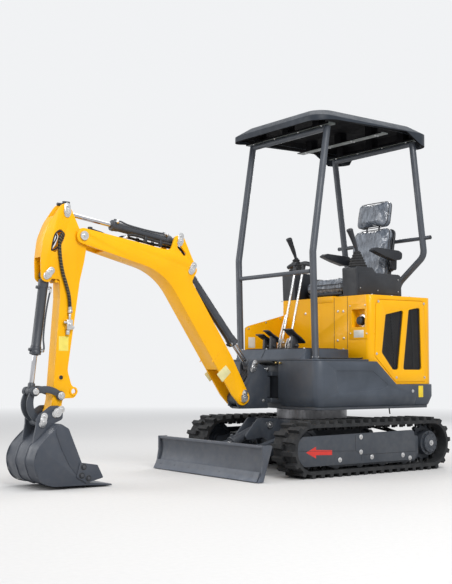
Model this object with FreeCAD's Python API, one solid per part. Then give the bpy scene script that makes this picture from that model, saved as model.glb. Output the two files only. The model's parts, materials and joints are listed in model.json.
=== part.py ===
import FreeCAD, Part
import math
import os

# Compact tracked digger: rubber tracks, slewing house with engine hood and canopy,
# swing post, boom, arm, bucket and dozer blade. Millimetres.
# x forward, y to the operator's left, z up; the slew axis stands on x = 0, y = 0, ground is z = 0.

V = FreeCAD.Vector

# fits
pin_play = 0.1            # radial play of a pin in its bore
ring_play = 0.6           # radial play between the two slewing rings
moving_gap = 5.0          # free space between pieces that pass each other
seat_gap = 0.3            # a piece that rests on its neighbour

# rubber tracks
track_gauge = 895.0       # between the track centres
track_width = 205.0
track_length = 1384.0     # over the lugs
track_height = 342.0      # over the lugs
track_mid_x = -51.0
lug_height = 22.0
lug_length = 30.0
lug_count = 42
belt_thickness = 20.0
guide_height = 22.0
guide_gap = 36.0          # between the two rows of guide teeth
guide_thickness = 14.0

# running gear
wheel_width = 26.0        # centre disc that runs between the guide teeth
roller_radius = 40.0
roller_count = 4
tread_y = 41.0
tread_width = 14.0
spindle_radius = 16.0
hub_radius = 22.0
carrier_x = track_mid_x - 20
carrier_radius = 22.0
carrier_reach = 30.0
frame_half_width = 50.0
frame_plate = 8.0
motor_radius = 78.0
cover_plate = 10.0
cover_face_y = 540.0

# car body and slewing ring
body_half_width = 230.0
body_front_x = 330.0
body_rear_x = -330.0
body_top_z = 332.0
body_bottom_z = 150.0
body_wall = 12.0
leg_width = 110.0
leg_xs = (-250.0, 170.0)
ring_outer_radius = 233.0
ring_mid_radius = 190.0
ring_inner_radius = 150.0
ring_top_z = 390.0

# dozer blade
blade_width = 1100.0
blade_bottom_z = 4.0
blade_plate = 14.0
blade_end_plate = 12.0
blade_arm_y = 185.0
blade_arm_width = 50.0
blade_pivot = (380.0, 185.0)
blade_ram_base = (410.0, 296.0)
blade_ram_eye = (778.0, 150.0)
tow_eye = (-366.0, 226.0)
tow_eye_radius = 20.0
tow_plate = 24.0

# house
house_half_width = 500.0
house_front_x = 393.0
house_tail_x = -665.0
tail_bulge = 36.0
house_front_corner = 60.0
house_tail_corner = 80.0
skirt_bottom_z = 419.0
skirt_top_z = 702.0
skirt_wall = 12.0
skirt_ledge = 45.0
skirt_taper = 24.0        # how far the lower edge runs in
skirt_taper_height = 58.0
nose_half_width = 121.0
nose_front_x = 341.0
weight_front_x = -480.0
weight_thickness = 110.0
weight_top_z = 556.0
deck_bottom_z = 400.0
rib_y = 110.0
rib_plate = 16.0
rib_low_z = 464.0
floor_top_z = 779.0
floor_front_x = 385.0
floor_rear_x = -9.0
floor_half_width = 345.0
floor_wall = 8.0
floor_plate = 12.0        # low plate under the raised floor
floor_slope = 37.0

# engine hood
hood_front_x = -60.0
hood_inset = 14.0
hood_wall = 8.0
hood_corner = 40.0
hood_right_y = 365.0      # the right front corner runs in from the side to here
hood_right_run = 110.0
hood_top_z = 1130.0
knob_pocket = (328.0, 448.0, 923.0, 1039.0)
knob_pocket_depth = 45.0
panel_thickness = 12.0
panel_gap = 3.0
flange_thickness = 4.0
mesh_thickness = 4.0
door_half_width = 300.0
door_bottom_z = 590.0
door_top_z = hood_top_z - 70
door_thickness = 24.0
hinge_axis = (-673.0, 306.0)
hinge_radius = 7.0
hinge_pin_radius = 3.0
hinge_zs = (door_bottom_z + 70, door_top_z - 70)

# swing post
swing_axis_x = 405.0
swing_pin_radius = 18.0
lug_radius = 34.0
lug_neck = 30.0
nose_lug_zs = ((437.0, 465.0), (607.0, 635.0))
post_inner_y = 38.0
post_plate = 10.0

# boom
boom_half_width = 65.0
boom_plate = 12.0
boom_flange = 10.0
boom_foot = (627.0, 472.0)
boom_tip = (1773.0, 1400.0)
boom_ram_post = (536.0, 661.0)
boom_ram_boom = (1028.0, 1253.0)
arm_ram_boom = (1115.0, 1422.0)
boom_foot_window = 265.0
boom_tip_window = 160.0

# arm
arm_half_width = 42.0
arm_plate = 8.0
arm_top_pin = (1869.0, 1531.0)
bucket_ram_arm = (1983.0, 1170.0)
lever_pin = (1899.0, 500.0)
bucket_pin = (1930.0, 409.0)
link_pin = (2015.0, 360.0)
knuckle = (2054.0, 524.0)
thumb_hole = (1813.0, 523.0)

# bucket
bucket_half_width = 175.0
bucket_plate = 8.0
bucket_rib_y = 58.0
bucket_rib_width = 10.0
bucket_rib_rise = 4.0
ear_inner_y = 62.0
ear_plate = 12.0
lever_inner_y = 47.0
lever_plate = 10.0
link_inner_y = 28.0
link_plate = 12.0

# rams: bore tube radius, rod radius, eye radius, eye half width, tube start and end from its pin
ram_sizes = {
    "boom": (30.0, 17.0, 28.0, 24.0, 58.0, 575.0),
    "arm": (27.0, 14.0, 26.0, 24.0, 50.0, 448.0),
    "bucket": (27.0, 14.0, 24.0, 22.0, 45.0, 444.0),
    "blade": (31.0, 16.0, 26.0, 22.0, 45.0, 285.0),
}
ram_pin_radius = 15.0
main_pin_radius = 20.0
pin_head = 8.0

# side cover on the operator's right
cover_inner_y = 350.0
cover_front_x = 305.0
cover_front_z = hood_top_z - 190
cover_rear_z = hood_top_z - 102
cover_drop = 45.0         # the outer side stands lower by this
cover_wall = 8.0

# canopy
post_foot = (305.0, 380.0)
post_foot_radius = 32.0
post_tube_radius = 22.0
post_bend_radius = 90.0
roof_half_width = 465.0
roof_front_x = 350.0
roof_rear_x = -684.0
roof_edge_z = 2215.0
roof_lip = 36.0
roof_rise = 52.0
roof_flap_z = 2172.0      # lower edge of the corner flaps at the back
roof_bar_x = -275.0
canopy_front_top_x = 199.0
canopy_rear_top_x = -580.0
top_bar_z = 2190.0
front_bar_radius = 18.0
rear_bar_radius = 18.0

# driver's place
seat_half_width = 215.0
seat_base_top_z = hood_top_z + 38
cushion_top_z = hood_top_z + 120
backrest = (190.0, 190.0, 37.5)    # half width, half height, half thickness
headrest = (125.0, 97.0, 37.5)
backrest_middle = (-565.0, cushion_top_z + 200)
headrest_middle = (-604.0, cushion_top_z + 508)
seat_lean = 10.0
armrest_z = cushion_top_z + 214
console_top_z = hood_top_z + 190
console_step = 34.0       # the rear of a console lies lower by this
console_front_x = -55.0
console_inner_y = 240.0
console_outer_y = 372.0
joystick_base = (-135.0, 306.0)
lever_y = 40.0
lever_foot_x = 222.0
lever_top = (111.0, 1300.0)
pedal_places = (
    # middle y, middle x, half width
    (-165.0, 255.0, 34.0),
    (-88.0, 262.0, 20.0),
    (120.0, 255.0, 38.0),
)


def turned(points, radii):
    """Start, middle and end of the arc at each corner of a closed row of points; a radius that two
    neighbours leave no room for is cut down to what fits."""
    count = len(points)
    halves = []
    for i, here in enumerate(points):
        back = points[i - 1] - here
        onward = points[(i + 1) % count] - here
        halves.append(back.getAngle(onward) / 2)
    runs = [radius / math.tan(half) for radius, half in zip(radii, halves)]
    fits = list(runs)
    for i in range(count):
        j = (i + 1) % count
        room = 0.99 * (points[j] - points[i]).Length
        if runs[i] + runs[j] > room:
            share = room / (runs[i] + runs[j])
            fits[i] = min(fits[i], runs[i] * share)
            fits[j] = min(fits[j], runs[j] * share)
    corners = []
    for i, here in enumerate(points):
        if radii[i] == 0 or fits[i] < 0.05:
            corners.append((here, None, here))
            continue
        back = (points[i - 1] - here).normalize()
        onward = (points[(i + 1) % count] - here).normalize()
        radius = fits[i] * math.tan(halves[i])
        middle = here + (back + onward).normalize() * (radius / math.sin(halves[i]) - radius)
        corners.append((here + back * fits[i], middle, here + onward * fits[i]))
    return corners


def outline(points, place):
    """Closed wire through (a, b) or (a, b, corner radius) points."""
    corners = turned([V(p[0], p[1], 0) for p in points], [p[2] if len(p) > 2 else 0 for p in points])
    edges = []
    for i, (start, middle, end) in enumerate(corners):
        if middle is not None:
            edges.append(Part.Arc(place(start), place(middle), place(end)).toShape())
        following = corners[(i + 1) % len(corners)][0]
        if (following - end).Length > 1e-4:
            edges.append(Part.makeLine(place(end), place(following)))
    return Part.Wire(edges)


def side(points, y0, y1):
    """Side-view outline (x, z) pulled from y0 to y1."""
    face = Part.Face(outline(points, lambda p: V(p.x, y0, p.y)))
    return face.extrude(V(0, y1 - y0, 0))


def plan(points, z0, z1):
    """Top-view outline (x, y) pulled from z0 to z1."""
    face = Part.Face(outline(points, lambda p: V(p.x, p.y, z0)))
    return face.extrude(V(0, 0, z1 - z0))


def front(points, x0, x1):
    """Front-view outline (y, z) pulled from x0 to x1."""
    face = Part.Face(outline(points, lambda p: V(x0, p.x, p.y)))
    return face.extrude(V(x1 - x0, 0, 0))


def box(x0, x1, y0, y1, z0, z1):
    return Part.makeBox(x1 - x0, y1 - y0, z1 - z0, V(x0, y0, z0))


def rod(start, end, radius):
    line = end - start
    return Part.makeCylinder(radius, line.Length, start, line)


def across(at, radius, y0, y1):
    """Cylinder along y at a side-view point."""
    return Part.makeCylinder(radius, y1 - y0, V(at[0], y0, at[1]), V(0, 1, 0))


def upright(x, y, radius, z0, z1):
    return Part.makeCylinder(radius, z1 - z0, V(x, y, z0), V(0, 0, 1))


def mirrored(shape):
    return shape.mirror(V(0, 0, 0), V(0, 1, 0))


def both_sides(shape):
    return [shape, mirrored(shape)]


def fused(shapes):
    shapes = list(shapes)
    whole = shapes[0].multiFuse(shapes[1:]) if len(shapes) > 1 else shapes[0]
    return whole.removeSplitter()


def bent_tube(points, radius, bend):
    """Round tube through points, its corners turned with a bend radius."""
    corners = [(points[0], None, points[0])]
    for before, here, after in zip(points, points[1:], points[2:]):
        back = (before - here).normalize()
        onward = (after - here).normalize()
        half = back.getAngle(onward) / 2
        run = bend / math.tan(half)
        inward = (back + onward).normalize()
        middle = here + inward * (bend / math.sin(half) - bend)
        corners.append((here + back * run, middle, here + onward * run))
    corners.append((points[-1], None, points[-1]))
    edges = []
    for (start, middle, end), following in zip(corners, corners[1:] + [None]):
        if middle is not None:
            edges.append(Part.Arc(start, middle, end).toShape())
        if following is not None:
            edges.append(Part.makeLine(end, following[0]))
    path = Part.Wire(edges)
    ring = Part.Wire(Part.makeCircle(radius, points[0], points[1] - points[0]))
    return path.makePipeShell([ring], True, True)


def keep(node, shapes):
    shapes = shapes if isinstance(shapes, list) else [shapes]
    solids = [solid for shape in shapes for solid in shape.Solids]
    for solid in solids:
        if not solid.isValid():
            raise ValueError(node + " has a broken solid")
    whole = solids[0] if len(solids) == 1 else Part.makeCompound(solids)
    whole.exportStep(os.path.join("parts", node + ".step"))
    print(node, len(solids), "solids", round(sum(s.Volume for s in solids) / 1e6, 2), "litres")


# running gear

track_y = track_gauge / 2
end_radius = track_height / 2
carcass_radius = end_radius - lug_height
inner_radius = carcass_radius - belt_thickness
front_axle_x = track_mid_x + track_length / 2 - end_radius
rear_axle_x = track_mid_x - track_length / 2 + end_radius
axle_z = end_radius
roller_pitch = (front_axle_x - rear_axle_x - 442) / (roller_count - 1)
roller_xs = [rear_axle_x + 212 + roller_pitch * i for i in range(roller_count)]


def loop_point(distance, radius):
    """Point and outward direction at a distance along the belt's outer face."""
    straight = front_axle_x - rear_axle_x
    half_turn = math.pi * carcass_radius
    distance = distance % (2 * straight + 2 * half_turn)
    if distance < straight:
        return V(rear_axle_x + distance, axle_z + radius, 0), V(0, 1, 0)
    distance -= straight
    if distance < half_turn:
        turn = math.pi / 2 - distance / carcass_radius
        out = V(math.cos(turn), math.sin(turn), 0)
        return V(front_axle_x, axle_z, 0) + out * radius, out
    distance -= half_turn
    if distance < straight:
        return V(front_axle_x - distance, axle_z - radius, 0), V(0, -1, 0)
    distance -= straight
    turn = -math.pi / 2 - distance / carcass_radius
    out = V(math.cos(turn), math.sin(turn), 0)
    return V(rear_axle_x, axle_z, 0) + out * radius, out


def lugged_loop(radius, height, length, shift):
    """Outline of a belt's face with a tooth on every pitch."""
    pitch = (2 * (front_axle_x - rear_axle_x) + 2 * math.pi * carcass_radius) / lug_count
    points = []
    for i in range(lug_count):
        middle = (i + shift) * pitch
        for offset, rise in ((-0.5, 0), (-0.36, 1), (0.36, 1), (0.5, 0)):
            at, _ = loop_point(middle + offset * length, radius + rise * height)
            points.append((at.x, at.y))
    return points


def stadium(radius):
    return [(rear_axle_x - radius, axle_z - radius, radius - 0.01),
            (front_axle_x + radius, axle_z - radius, radius - 0.01),
            (front_axle_x + radius, axle_z + radius, radius - 0.01),
            (rear_axle_x - radius, axle_z + radius, radius - 0.01)]


def track_belt():
    half = track_width / 2
    hollow = side(stadium(inner_radius), track_y - half, track_y + half)
    rows = [side(lugged_loop(carcass_radius, lug_height, lug_length, 0.0), track_y, track_y + half),
            side(lugged_loop(carcass_radius, lug_height, lug_length, 0.5), track_y - half, track_y)]
    belt = rows[0].fuse(rows[1]).cut(hollow)
    backing = side(stadium(inner_radius + belt_thickness / 2), track_y - half, track_y + half)
    for sign in (-1, 1):
        y0 = track_y + sign * (guide_gap / 2 + guide_thickness / 2) - guide_thickness / 2
        slab = backing.common(box(-1000, 1000, y0, y0 + guide_thickness, -100, 500))
        window = side(lugged_loop(inner_radius, -guide_height, lug_length, 0.0), y0, y0 + guide_thickness)
        belt = belt.fuse(slab.cut(window))
    return belt


def idler():
    axle = (front_axle_x, axle_z)
    disc = across(axle, inner_radius - seat_gap, track_y - wheel_width / 2, track_y + wheel_width / 2)
    hub = across(axle, 46, track_y - 38, track_y + 38)
    web_cut = [across(axle, 104, y, y + 8).cut(across(axle, 58, y, y + 8))
               for y in (track_y - wheel_width / 2, track_y + wheel_width / 2 - 8)]
    bore = across(axle, 18, track_y - 60, track_y + 60)
    wheel = fused([disc, hub]).cut(bore)
    for groove in web_cut:
        wheel = wheel.cut(groove)
    return wheel


def sprocket():
    centre = (rear_axle_x, axle_z)
    teeth = 13
    points = []
    for i in range(teeth):
        for offset, radius in ((-0.3, 104), (-0.16, 122), (0.16, 122), (0.3, 104)):
            turn = 2 * math.pi * (i + offset) / teeth
            points.append((centre[0] + radius * math.cos(turn), centre[1] + radius * math.sin(turn)))
    wheel = side(points, track_y - wheel_width / 2, track_y + wheel_width / 2)
    motor = across(centre, motor_radius, track_y - frame_half_width + seat_gap, track_y + 66)
    cap = across(centre, motor_radius - 18, track_y + 66, track_y + 82)
    boss = across(centre, 24, track_y + 82, track_y + 90)
    return fused([wheel, motor, cap, boss])


def rollers():
    z = axle_z - inner_radius + roller_radius + seat_gap
    wheels = []
    for x in roller_xs:
        treads = [across((x, z), roller_radius, track_y + s - tread_width / 2, track_y + s + tread_width / 2)
                  for s in (-tread_y, tread_y)]
        waist = across((x, z), spindle_radius, track_y - tread_y, track_y + tread_y)
        stubs = [across((x, z), hub_radius, track_y + s - 5, track_y + s + 5)
                 for s in (-frame_half_width - 3, frame_half_width + 3)]
        wheels.append(fused(treads + [waist] + stubs))
    top = (carrier_x, axle_z + inner_radius - guide_height - carrier_radius - moving_gap)
    wheels.append(fused([across(top, carrier_radius, track_y - carrier_reach, track_y + carrier_reach),
                         across(top, 8, track_y - carrier_reach - 1, track_y + carrier_reach + 1)]))
    return wheels


def track_frame():
    z_low = axle_z - inner_radius + roller_radius
    y0 = track_y - frame_half_width
    y1 = track_y + frame_half_width
    back, ahead = rear_axle_x + 132, front_axle_x - 170
    top = box(back, ahead + 35, y0, y1, 212, 222)
    flank = [(back - 40, z_low + 28, 10), (back, z_low - 26, 20), (ahead, z_low - 26, 30),
             (front_axle_x + 34, 140, 20), (front_axle_x + 34, 202, 30), (ahead + 40, 222, 20),
             (back - 40, 222, 20)]
    walls = [side(flank, y, y + frame_plate) for y in (y0 - frame_plate, y1)]
    tail = side([(back, 90, 30), (rear_axle_x - 60, 96, 50), (rear_axle_x - 60, 246, 50), (back, 222, 20)],
                y0 - frame_plate, y0)
    bulkheads = [box(x, x + 10, y0, y1, 124, 212) for x in (back, track_mid_x - 9, ahead)]
    frame = fused(walls + [top, tail] + bulkheads)
    for x in roller_xs:
        frame = frame.cut(across((x, z_low + seat_gap), hub_radius + seat_gap, y0 - 40, y1 + 40))
    frame = frame.cut(across((front_axle_x, axle_z), 20, y0 - 40, y1 + 40))
    axle = across((front_axle_x, axle_z), 18 - pin_play, track_y - 38, track_y + 38)
    ends = [across((front_axle_x, axle_z), 20, y, y + 20) for y in (y0 - frame_plate, y1 + frame_plate - 20)]
    cheeks = [box(carrier_x - 16, carrier_x + 16, y, y + 7, 222, 262)
              for y in (track_y - carrier_reach - 8, track_y + carrier_reach + 1)]
    return fused([frame, axle] + cheeks + ends)


def track_cover():
    back, ahead = rear_axle_x, front_axle_x
    shape = side([(back + 157, 72, 20), (ahead + 75, 72, 40), (ahead + 120, 128, 40), (ahead + 118, 226, 30),
                  (ahead + 78, 250, 30), (back + 167, 262, 24)], cover_face_y - cover_plate, cover_face_y)
    y0 = track_y + frame_half_width + frame_plate
    spacers = [across(at, 14, y0 + seat_gap, cover_face_y - cover_plate + 1)
               for at in ((back + 192, 110), (back + 192, 200), (track_mid_x + 11, 205), (ahead - 190, 205),
                          (back + 312, 112), (ahead - 320, 150))]
    return fused([shape] + spacers)


# car body, slewing ring and dozer blade

def car_body():
    outer = plan([(body_rear_x, -body_half_width, 50), (body_front_x, -body_half_width, 50),
                  (body_front_x, body_half_width, 50), (body_rear_x, body_half_width, 50)],
                 body_bottom_z + 20, body_top_z)
    inner = plan([(body_rear_x + body_wall, -body_half_width + body_wall, 38),
                  (body_front_x - body_wall, -body_half_width + body_wall, 38),
                  (body_front_x - body_wall, body_half_width - body_wall, 38),
                  (body_rear_x + body_wall, body_half_width - body_wall, 38)],
                 body_bottom_z, body_top_z - body_wall)
    shell = outer.cut(inner)
    reach = track_y - frame_half_width - frame_plate
    legs = []
    for x in leg_xs:
        for sign in (-1, 1):
            y0, y1 = sorted((sign * (body_half_width - body_wall), sign * reach))
            leg = box(x - leg_width / 2, x + leg_width / 2, y0, y1, 130, 222)
            void = box(x - leg_width / 2 + 10, x + leg_width / 2 - 10, y0, y1, 140, 212)
            legs.append(leg.cut(void))
    ear = side([(body_front_x - 40, body_top_z, 2), (500, 343, 30), (604, 232, 16), (588, 206, 12),
                (440, 222, 40), (blade_pivot[0] + 40, 150, 30), (body_front_x - 40, 150, 2)], 45, 57)
    lug_y = blade_arm_y - blade_arm_width / 2 - moving_gap
    ears = both_sides(ear)
    pivot_lug = side([(body_front_x - 60, 235, 2), (blade_pivot[0] + 4, 235, 30),
                      (blade_pivot[0] + 40, blade_pivot[1] + 8, 36), (blade_pivot[0] + 4, 140, 30),
                      (body_front_x - 60, 140, 2)], lug_y - 14, lug_y)
    lugs = both_sides(pivot_lug)
    floor = box(body_rear_x + 40, body_front_x - 40, -body_half_width + 2, body_half_width - 2,
                body_bottom_z + 20, body_bottom_z + 28)
    x, z = tow_eye
    tow_lug = plan([(body_rear_x + 6, -60), (x, -42, 30), (x - 42, -42, 41), (x - 42, 42, 41), (x, 42, 30),
                    (body_rear_x + 6, 60)], z - tow_plate / 2, z + tow_plate / 2)
    tow_lug = tow_lug.cut(upright(tow_eye[0], 0, tow_eye_radius, 150, 300))
    body = fused([shell, floor, tow_lug] + legs + ears + lugs)
    body = body.cut(across(blade_pivot, main_pin_radius, -400, 400))
    return body.cut(across(blade_ram_base, ram_pin_radius, -400, 400))


def slew_ring():
    return upright(0, 0, ring_outer_radius, body_top_z, ring_top_z).cut(
        upright(0, 0, ring_mid_radius, body_top_z, ring_top_z))


def blade():
    half = blade_width / 2
    z0 = blade_bottom_z
    edge = V(897, 0, z0)
    belly = V(843, 0, z0 + 95)
    crest = V(850, 0, z0 + 203)
    back = V(-blade_plate, 0, 0)
    face = Part.Face(Part.Wire([Part.Arc(edge, belly, crest).toShape(), Part.makeLine(crest, crest + back),
                                Part.Arc(crest + back, belly + back, edge + back).toShape(),
                                Part.makeLine(edge + back, edge)]))
    face.translate(V(0, -half + blade_end_plate, 0))
    board = face.extrude(V(0, 2 * (half - blade_end_plate), 0))
    lip = side([(846, z0 + 190), (858, z0 + 192), (856, z0 + 207), (828, z0 + 207), (828, z0 + 198)],
               -half + blade_end_plate, half - blade_end_plate)
    end = side([(897, z0), (872, z0 + 45), (860, z0 + 120), (861, z0 + 208, 4), (789, z0 + 208, 10), (858, z0)],
               half - blade_end_plate, half)
    spine = side([(846, z0 + 20), (826, z0 + 90), (832, z0 + 150), (800, z0 + 150, 6), (782, z0 + 60, 10)],
                 -330, 330)
    spine = spine.cut(across(blade_ram_eye, ram_sizes["blade"][2] + moving_gap + 2, -28, 28))
    return fused([board, lip, spine] + both_sides(end))


def blade_arms(board):
    y0 = blade_arm_y - blade_arm_width / 2
    y1 = blade_arm_y + blade_arm_width / 2
    arm = side([(blade_pivot[0] - 34, blade_pivot[1] + 34, 33), (blade_pivot[0] - 34, blade_pivot[1] - 34, 33),
                (540, 112, 60), (790 - seat_gap, 60), (808 - seat_gap, 146, 2), (560, 190, 80),
                (blade_pivot[0] + 50, blade_pivot[1] + 40, 60)], y0, y1)
    arm = arm.cut(across(blade_pivot, main_pin_radius + pin_play, y0, y1))
    tie = box(690, 716, -y0, y0, 84, 130)
    lug = side([(700, 92), (800, 66), (812 - 4, 146), (blade_ram_eye[0] + 16, blade_ram_eye[1] + 32, 20),
                (blade_ram_eye[0] - 20, blade_ram_eye[1] + 32, 24), (714, 134)], 28, 42)
    lug = lug.cut(across(blade_ram_eye, ram_pin_radius + pin_play, 0, 60))
    return fused(both_sides(arm) + [tie] + both_sides(lug)).cut(board)


def blade_pins():
    outer = blade_arm_y + blade_arm_width / 2
    inner = blade_arm_y - blade_arm_width / 2 - moving_gap
    pivot = fused([across(blade_pivot, main_pin_radius - seat_gap, inner - 14, outer + 2),
                   across(blade_pivot, main_pin_radius + 9, outer + 2, outer + 10)])
    base = fused([across(blade_ram_base, ram_pin_radius - seat_gap, -58, 58)]
                 + both_sides(across(blade_ram_base, ram_pin_radius + 7, 57.5, 65)))
    return both_sides(pivot) + [base]


def blade_eye_pins():
    stub = fused([across(blade_ram_eye, ram_pin_radius, 28, 43),
                  across(blade_ram_eye, ram_pin_radius + 4, 42.5, 50)])
    return both_sides(stub)


# rams

def ram_tube(name, base, eye):
    tube_radius, rod_radius, eye_radius, half_width, start, stop = ram_sizes[name]
    a = V(base[0], 0, base[1])
    line = (V(eye[0], 0, eye[1]) - a).normalize()
    tube = rod(a + line * start, a + line * stop, tube_radius)
    collar = rod(a + line * (stop - 40), a + line * stop, tube_radius + 3)
    cap = rod(a + line * (start - 16), a + line * (start + 22), tube_radius + 2)
    ring = across(base, eye_radius, -half_width, half_width)
    neck = rod(a, a + line * start, half_width - 2)
    ports = [rod(a + line * d, a + line * d + V(-line.z, 0, line.x) * (tube_radius + 14), 9)
             for d in (start + 30, stop - 22)]
    body = fused([tube, collar, cap, ring, neck] + ports)
    body = body.cut(rod(a + line * (start + 24), a + line * (stop + 5), rod_radius + pin_play))
    return body.cut(across(base, ram_pin_radius + pin_play, -half_width, half_width))


def ram_rod(name, base, eye):
    tube_radius, rod_radius, eye_radius, half_width, start, stop = ram_sizes[name]
    a = V(base[0], 0, base[1])
    b = V(eye[0], 0, eye[1])
    line = (b - a).normalize()
    length = (b - a).Length
    reach = length - stop
    inner = stop - min(90, length - start - reach - 60)
    bar = rod(a + line * inner, b, rod_radius)
    ring = across(eye, eye_radius, -half_width, half_width)
    return fused([bar, ring])


def pin(at, radius, reach):
    """Greased pin with a plate head at both ends, centred on the machine."""
    shaft = across(at, radius, -reach - 2, reach + 2)
    heads = [across(at, radius + 6, y, y + pin_head) for y in (-reach - 2 - pin_head, reach + 2)]
    return fused([shaft] + heads)


# swing post, boom, arm and bucket

post_outline = [(412, 402, 8), (655, 402, 45), (674, 470, 44), (640, 530, 30), (578, 600, 60), (574, 690, 30),
                (540, 712, 30), (455, 668, 30), (422, 632, 10), (422, 440, 10)]


def swing_post():
    reach = post_inner_y + post_plate
    plates = both_sides(side(post_outline, post_inner_y, reach))
    boss = upright(swing_axis_x, 0, lug_radius + 2, nose_lug_zs[0][1] + moving_gap,
                   nose_lug_zs[1][0] - moving_gap)
    web = box(swing_axis_x, 470, -post_inner_y, post_inner_y, 478, 594)
    foot = across(boom_foot, 45, -post_inner_y, post_inner_y)
    gusset = side([(466, 478), (600, 440), (600, 470), (480, 594), (466, 594)], -8, 8)
    sole = box(500, 640, -post_inner_y, post_inner_y, 402, 414)
    post = fused(plates + [boss, web, foot, gusset, sole])
    post = post.cut(upright(swing_axis_x, 0, swing_pin_radius + pin_play, 300, 800))
    post = post.cut(across(boom_foot, main_pin_radius + pin_play, -100, 100))
    return post.cut(across(boom_ram_post, ram_pin_radius, -100, 100))


def post_pins():
    top = nose_lug_zs[1][1]
    swing = fused([upright(swing_axis_x, 0, swing_pin_radius, nose_lug_zs[0][0] - 6, top + 6),
                   upright(swing_axis_x, 0, swing_pin_radius + 9, top + 0.5, top + 10)])
    reach = post_inner_y + post_plate
    stub = fused([across(boom_ram_post, ram_pin_radius - seat_gap, post_inner_y, reach + 1),
                  across(boom_ram_post, ram_pin_radius + 8, reach + seat_gap, reach + pin_head)])
    return swing, both_sides(stub)


boom_outline = [(638.5, 412.3, 42), (717, 490, 80), (1224, 1224, 380), (1823, 1366, 42), (1807, 1450, 42),
                (1223, 1363, 60), (1180, 1366, 25), (1148, 1456, 30), (1088, 1448, 35), (1036, 1345, 80),
                (986, 1250, 30), (1026, 1180, 20), (718, 725, 120), (567.3, 460.5, 42)]
boom_box_outline = [(638.5, 412.3, 42), (717, 490, 80), (1224, 1224, 380), (1823, 1366, 42), (1807, 1450, 42),
                    (1140, 1352, 120), (718, 725, 120), (567.3, 460.5, 42)]


def boom():
    plates = both_sides(side(boom_outline, boom_half_width - boom_plate, boom_half_width))
    inner_y = boom_half_width - boom_plate
    face = Part.Face(outline(boom_box_outline, lambda p: V(p.x, -inner_y, p.y)))
    void = face.makeOffset2D(-boom_flange)
    ring = face.cut(void).extrude(V(0, 2 * inner_y, 0))
    ring = ring.cut(across(boom_foot, boom_foot_window, -100, 100))
    ring = ring.cut(across(boom_tip, boom_tip_window, -100, 100))
    bosses = both_sides(across(boom_foot, 36, boom_half_width - 1, boom_half_width + 4))
    slot = fused([across((1083, 1345), 12, -100, 100), across((1122, 1385), 12, -100, 100),
                  side([(1074.5, 1353.5), (1091.5, 1336.5), (1130.5, 1376.5), (1113.5, 1393.5)], -100, 100)])
    whole = fused(plates + [ring] + bosses).cut(slot)
    for at, radius in ((boom_foot, main_pin_radius), (boom_tip, main_pin_radius),
                       (boom_ram_boom, ram_pin_radius), (arm_ram_boom, ram_pin_radius)):
        whole = whole.cut(across(at, radius + pin_play, -100, 100))
    return whole


def boom_pins():
    reach = boom_half_width
    return [pin(boom_foot, main_pin_radius, reach + 4), pin(boom_tip, main_pin_radius, reach),
            pin(boom_ram_boom, ram_pin_radius, reach), pin(arm_ram_boom, ram_pin_radius, reach)]


arm_outline = [(1886, 1590, 30), (1918, 1550, 60), (1977, 1462, 200), (2014, 1370, 200), (2028, 1250, 200),
               (2022, 1132, 34), (1968, 1126, 30), (1960, 1148, 10), (1908, 1146, 14), (1905, 1040, 100),
               (1942, 480, 60), (1965, 374, 33), (1895, 374, 33), (1880, 484, 20), (1806, 486, 26),
               (1782, 530, 30), (1826, 556, 40), (1852, 640, 80), (1782, 1149, 200), (1757, 1253, 200),
               (1742, 1345, 60), (1838, 1540, 60)]


def arm():
    inner_y = arm_half_width - arm_plate
    plates = both_sides(side(arm_outline, inner_y, arm_half_width))
    box_points = [(1886, 1590, 30), (1918, 1550, 60), (1977, 1462, 200), (2014, 1370, 200), (2028, 1250, 200),
                  (2022, 1132, 34), (1908, 1132, 14), (1905, 1040, 100),
                  (1942, 480, 60), (1965, 374, 33), (1895, 374, 33), (1868, 520, 20), (1852, 640, 80),
                  (1782, 1149, 200), (1757, 1253, 200), (1742, 1345, 60), (1838, 1540, 60)]
    face = Part.Face(outline(box_points, lambda p: V(p.x, -inner_y, p.y)))
    ring = face.cut(face.makeOffset2D(-arm_plate)).extrude(V(0, 2 * inner_y, 0))
    ring = ring.cut(across(arm_top_pin, 88, -100, 100))
    ring = ring.cut(side([(1800, 1480), (1900, 1600), (1840, 1640), (1700, 1500)], -100, 100))
    ring = ring.cut(box(1935, 2100, -100, 100, 1060, 1265))
    pivot = across(boom_tip, 30, -inner_y, inner_y)
    pivot_rims = both_sides(across(boom_tip, 34, arm_half_width - 1, arm_half_width + 6))
    wall = side([(1921, 1127), (1931, 1127), (1931, 1300), (1921, 1300)], -inner_y, inner_y)
    tip = across(bucket_pin, 33, -inner_y, inner_y)
    saddle = across(lever_pin, 26, -inner_y, inner_y)
    lug = side([(1868, 490), (1812, 492, 20), (1792, 528, 24), (1826, 548, 30), (1856, 620)], -inner_y, inner_y)
    lug = lug.cut(box(1700, 1858, -inner_y + 12, inner_y - 12, 400, 700))
    whole = fused(plates + [ring, pivot, wall, tip, saddle, lug] + pivot_rims)
    slot_points = [(1908, 1432, 16), (1876, 1402, 20), (1897, 1350, 30), (1936, 1296, 16), (1966, 1300, 20),
                   (1952, 1366, 30), (1932, 1414, 20)]
    whole = whole.cut(side(slot_points, inner_y - 1, arm_half_width + 1))
    whole = whole.cut(mirrored(side(slot_points, inner_y - 1, arm_half_width + 1)))
    for at in (boom_tip, bucket_pin):
        whole = whole.cut(across(at, main_pin_radius + pin_play, -100, 100))
    for at in (lever_pin, bucket_ram_arm, arm_top_pin, thumb_hole):
        whole = whole.cut(across(at, ram_pin_radius + pin_play, -100, 100))
    return whole


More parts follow.
